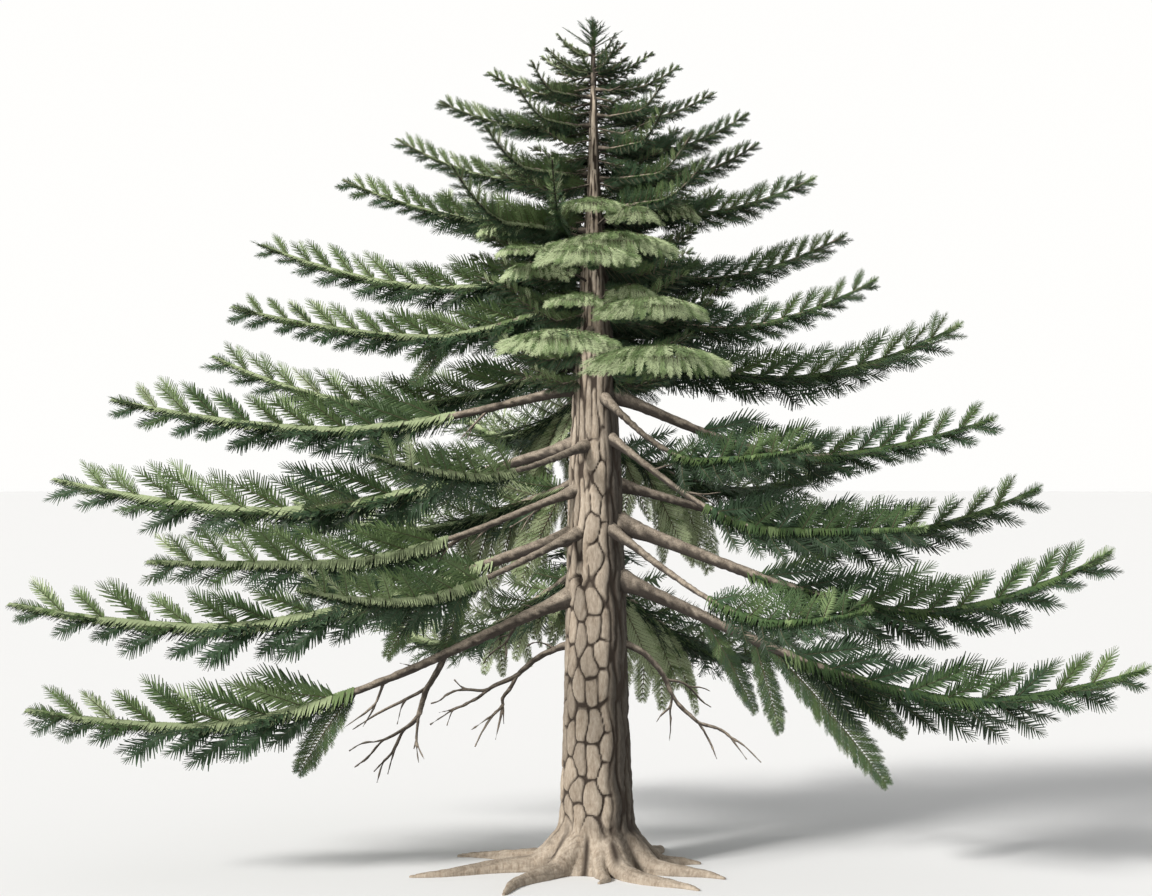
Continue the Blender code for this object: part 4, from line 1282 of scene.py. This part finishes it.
def trunk_material(group):
    """Grey-brown plates, each a little its own tone, with dark furrows between them, painted shade
    on the side away from the sun and between the roots, and painted light on the top.
    """
    made, tree, shader, grain = bark_material(
        "trunk_bark", (0.3, 0.25, 0.2), group, (0.42, 0.36, 0.29), (0.21, 0.165, 0.12),
        scale=5.0, stretch=0.35, strength=0.6, distance=0.03)
    tint = mask(tree, "tint")
    tinted = node(tree, "VectorMath", {0: grain, "Scale": tint}, operation="SCALE")
    furrow = mask(tree, "furrow")
    deep = node(tree, "MapRange", {"Value": furrow, "From Min": 0.25, "From Max": 0.85})
    # The near-black of the furrows, also used as the painted shade between the roots
    plug(tree, shader["Base Color"], mix(tree, deep, tinted, (0.035, 0.024, 0.016, 1.0)))
    return made


def limb_material(group):
    made, tree, shader, grain = bark_material(
        "limb_bark", (0.2, 0.16, 0.13), group, (0.47, 0.4, 0.32), (0.12, 0.095, 0.07),
        scale=9.0, stretch=1.0, strength=0.7, distance=0.02)
    # Painted shade: near black mixed into the limbs where they face down
    painted_underside_shade = (0.022, 0.016, 0.012, 1.0)
    plug(tree, shader["Base Color"], mix(tree, mask(tree, "under"), grain, painted_underside_shade))
    return made


def add_floor():
    form = bmesh.new()
    bmesh.ops.create_circle(form, cap_ends=True, segments=96, radius=400.0)
    floor = put("floor", written(form, new_mesh("floor")))
    floor.data.materials.append(new_material("floor", (0.79, 0.8, 0.81), 0.95)[0])


def add_lights():
    """A soft sun, and a world that is brightest near the horizon."""
    world = bpy.data.worlds.new("studio")
    bpy.context.scene.world = world
    world.use_nodes = True
    tree = world.node_tree
    place = node(tree, "TexCoord").outputs["Generated"]
    height = node(tree, "SeparateXYZ", {"Vector": place}).outputs["Z"]
    background = tree.nodes["Background"].inputs
    background["Color"].default_value = (1.0, 0.995, 0.98, 1.0)
    plug(tree, background["Strength"], node(tree, "MapRange", {
        "Value": height, "From Min": 0.22, "From Max": 0.45, "To Min": 1.0, "To Max": 0.4}))
    bpy.context.scene.view_settings.view_transform = "Standard"
    sun = bpy.data.lights.new("key", "SUN")
    sun.energy = 4.4
    sun.angle = radians(13)
    sun.color = (1.0, 0.97, 0.93)
    shining = Vector((0.7, 0.66, -0.57))
    put("key", sun).rotation_euler = shining.to_track_quat("-Z", "Y").to_euler()


def add_camera():
    lens = bpy.data.cameras.new("camera")
    lens.lens = 79.7
    lens.sensor_width = 36.0
    lens.clip_end = 1000.0
    camera = put("camera", lens)
    camera.location = (-0.37, -45.0, 7.41)
    camera.rotation_euler = (pi / 2, 0.0, 0.0)
    bpy.context.scene.camera = camera


add_camera()
add_floor()
add_lights()

for each in BOUGHS.values():
    grow_bough(each)
for each in DEAD_LIMBS:
    grow_dead_limb(*each)
for each in DEAD_TWIGS:
    grow_dead_twig(*each)
grow_leader()
grow_infill()
grow_collar()
for each in PADS:
    grow_lone_pad(each)
for each in HANGING:
    grow_hanging(*each)
for each in PLUMES:
    seed(each)
    grow_plume(PLUME_LIT, LINES[each.bough].point(each.share), Vector(each.run),
               PLUME_FACE, each.length, each.half, PLUME_STEP)

grain = grain_group()
trunk = make_trunk(trunk_material(grain))
limbs = wood("bough_bark", limb_sticks, LIMB_SIDES, limb_material(grain))
roughen(limbs.data)
twig_finish = new_material("twig_bark", (0.085, 0.075, 0.042), 0.85)[0]
ribs = wood("twig_bark", rib_sticks, TWIG_SIDES, twig_finish)
needles = needle_pieces({name: needle_material(name, colour) for name, colour in GREENS})

foliage = [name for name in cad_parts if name.endswith("_foliage")]
limb_nodes = [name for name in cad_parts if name.endswith("_bough")]
limb_nodes += [limb[0] for limb in DEAD_LIMBS]
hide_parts("trunk")
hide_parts(*limb_nodes)
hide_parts(*foliage)
for piece in needles:
    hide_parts(*foliage)
for piece in [trunk, limbs, ribs, *needles]:
    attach(piece, "root")
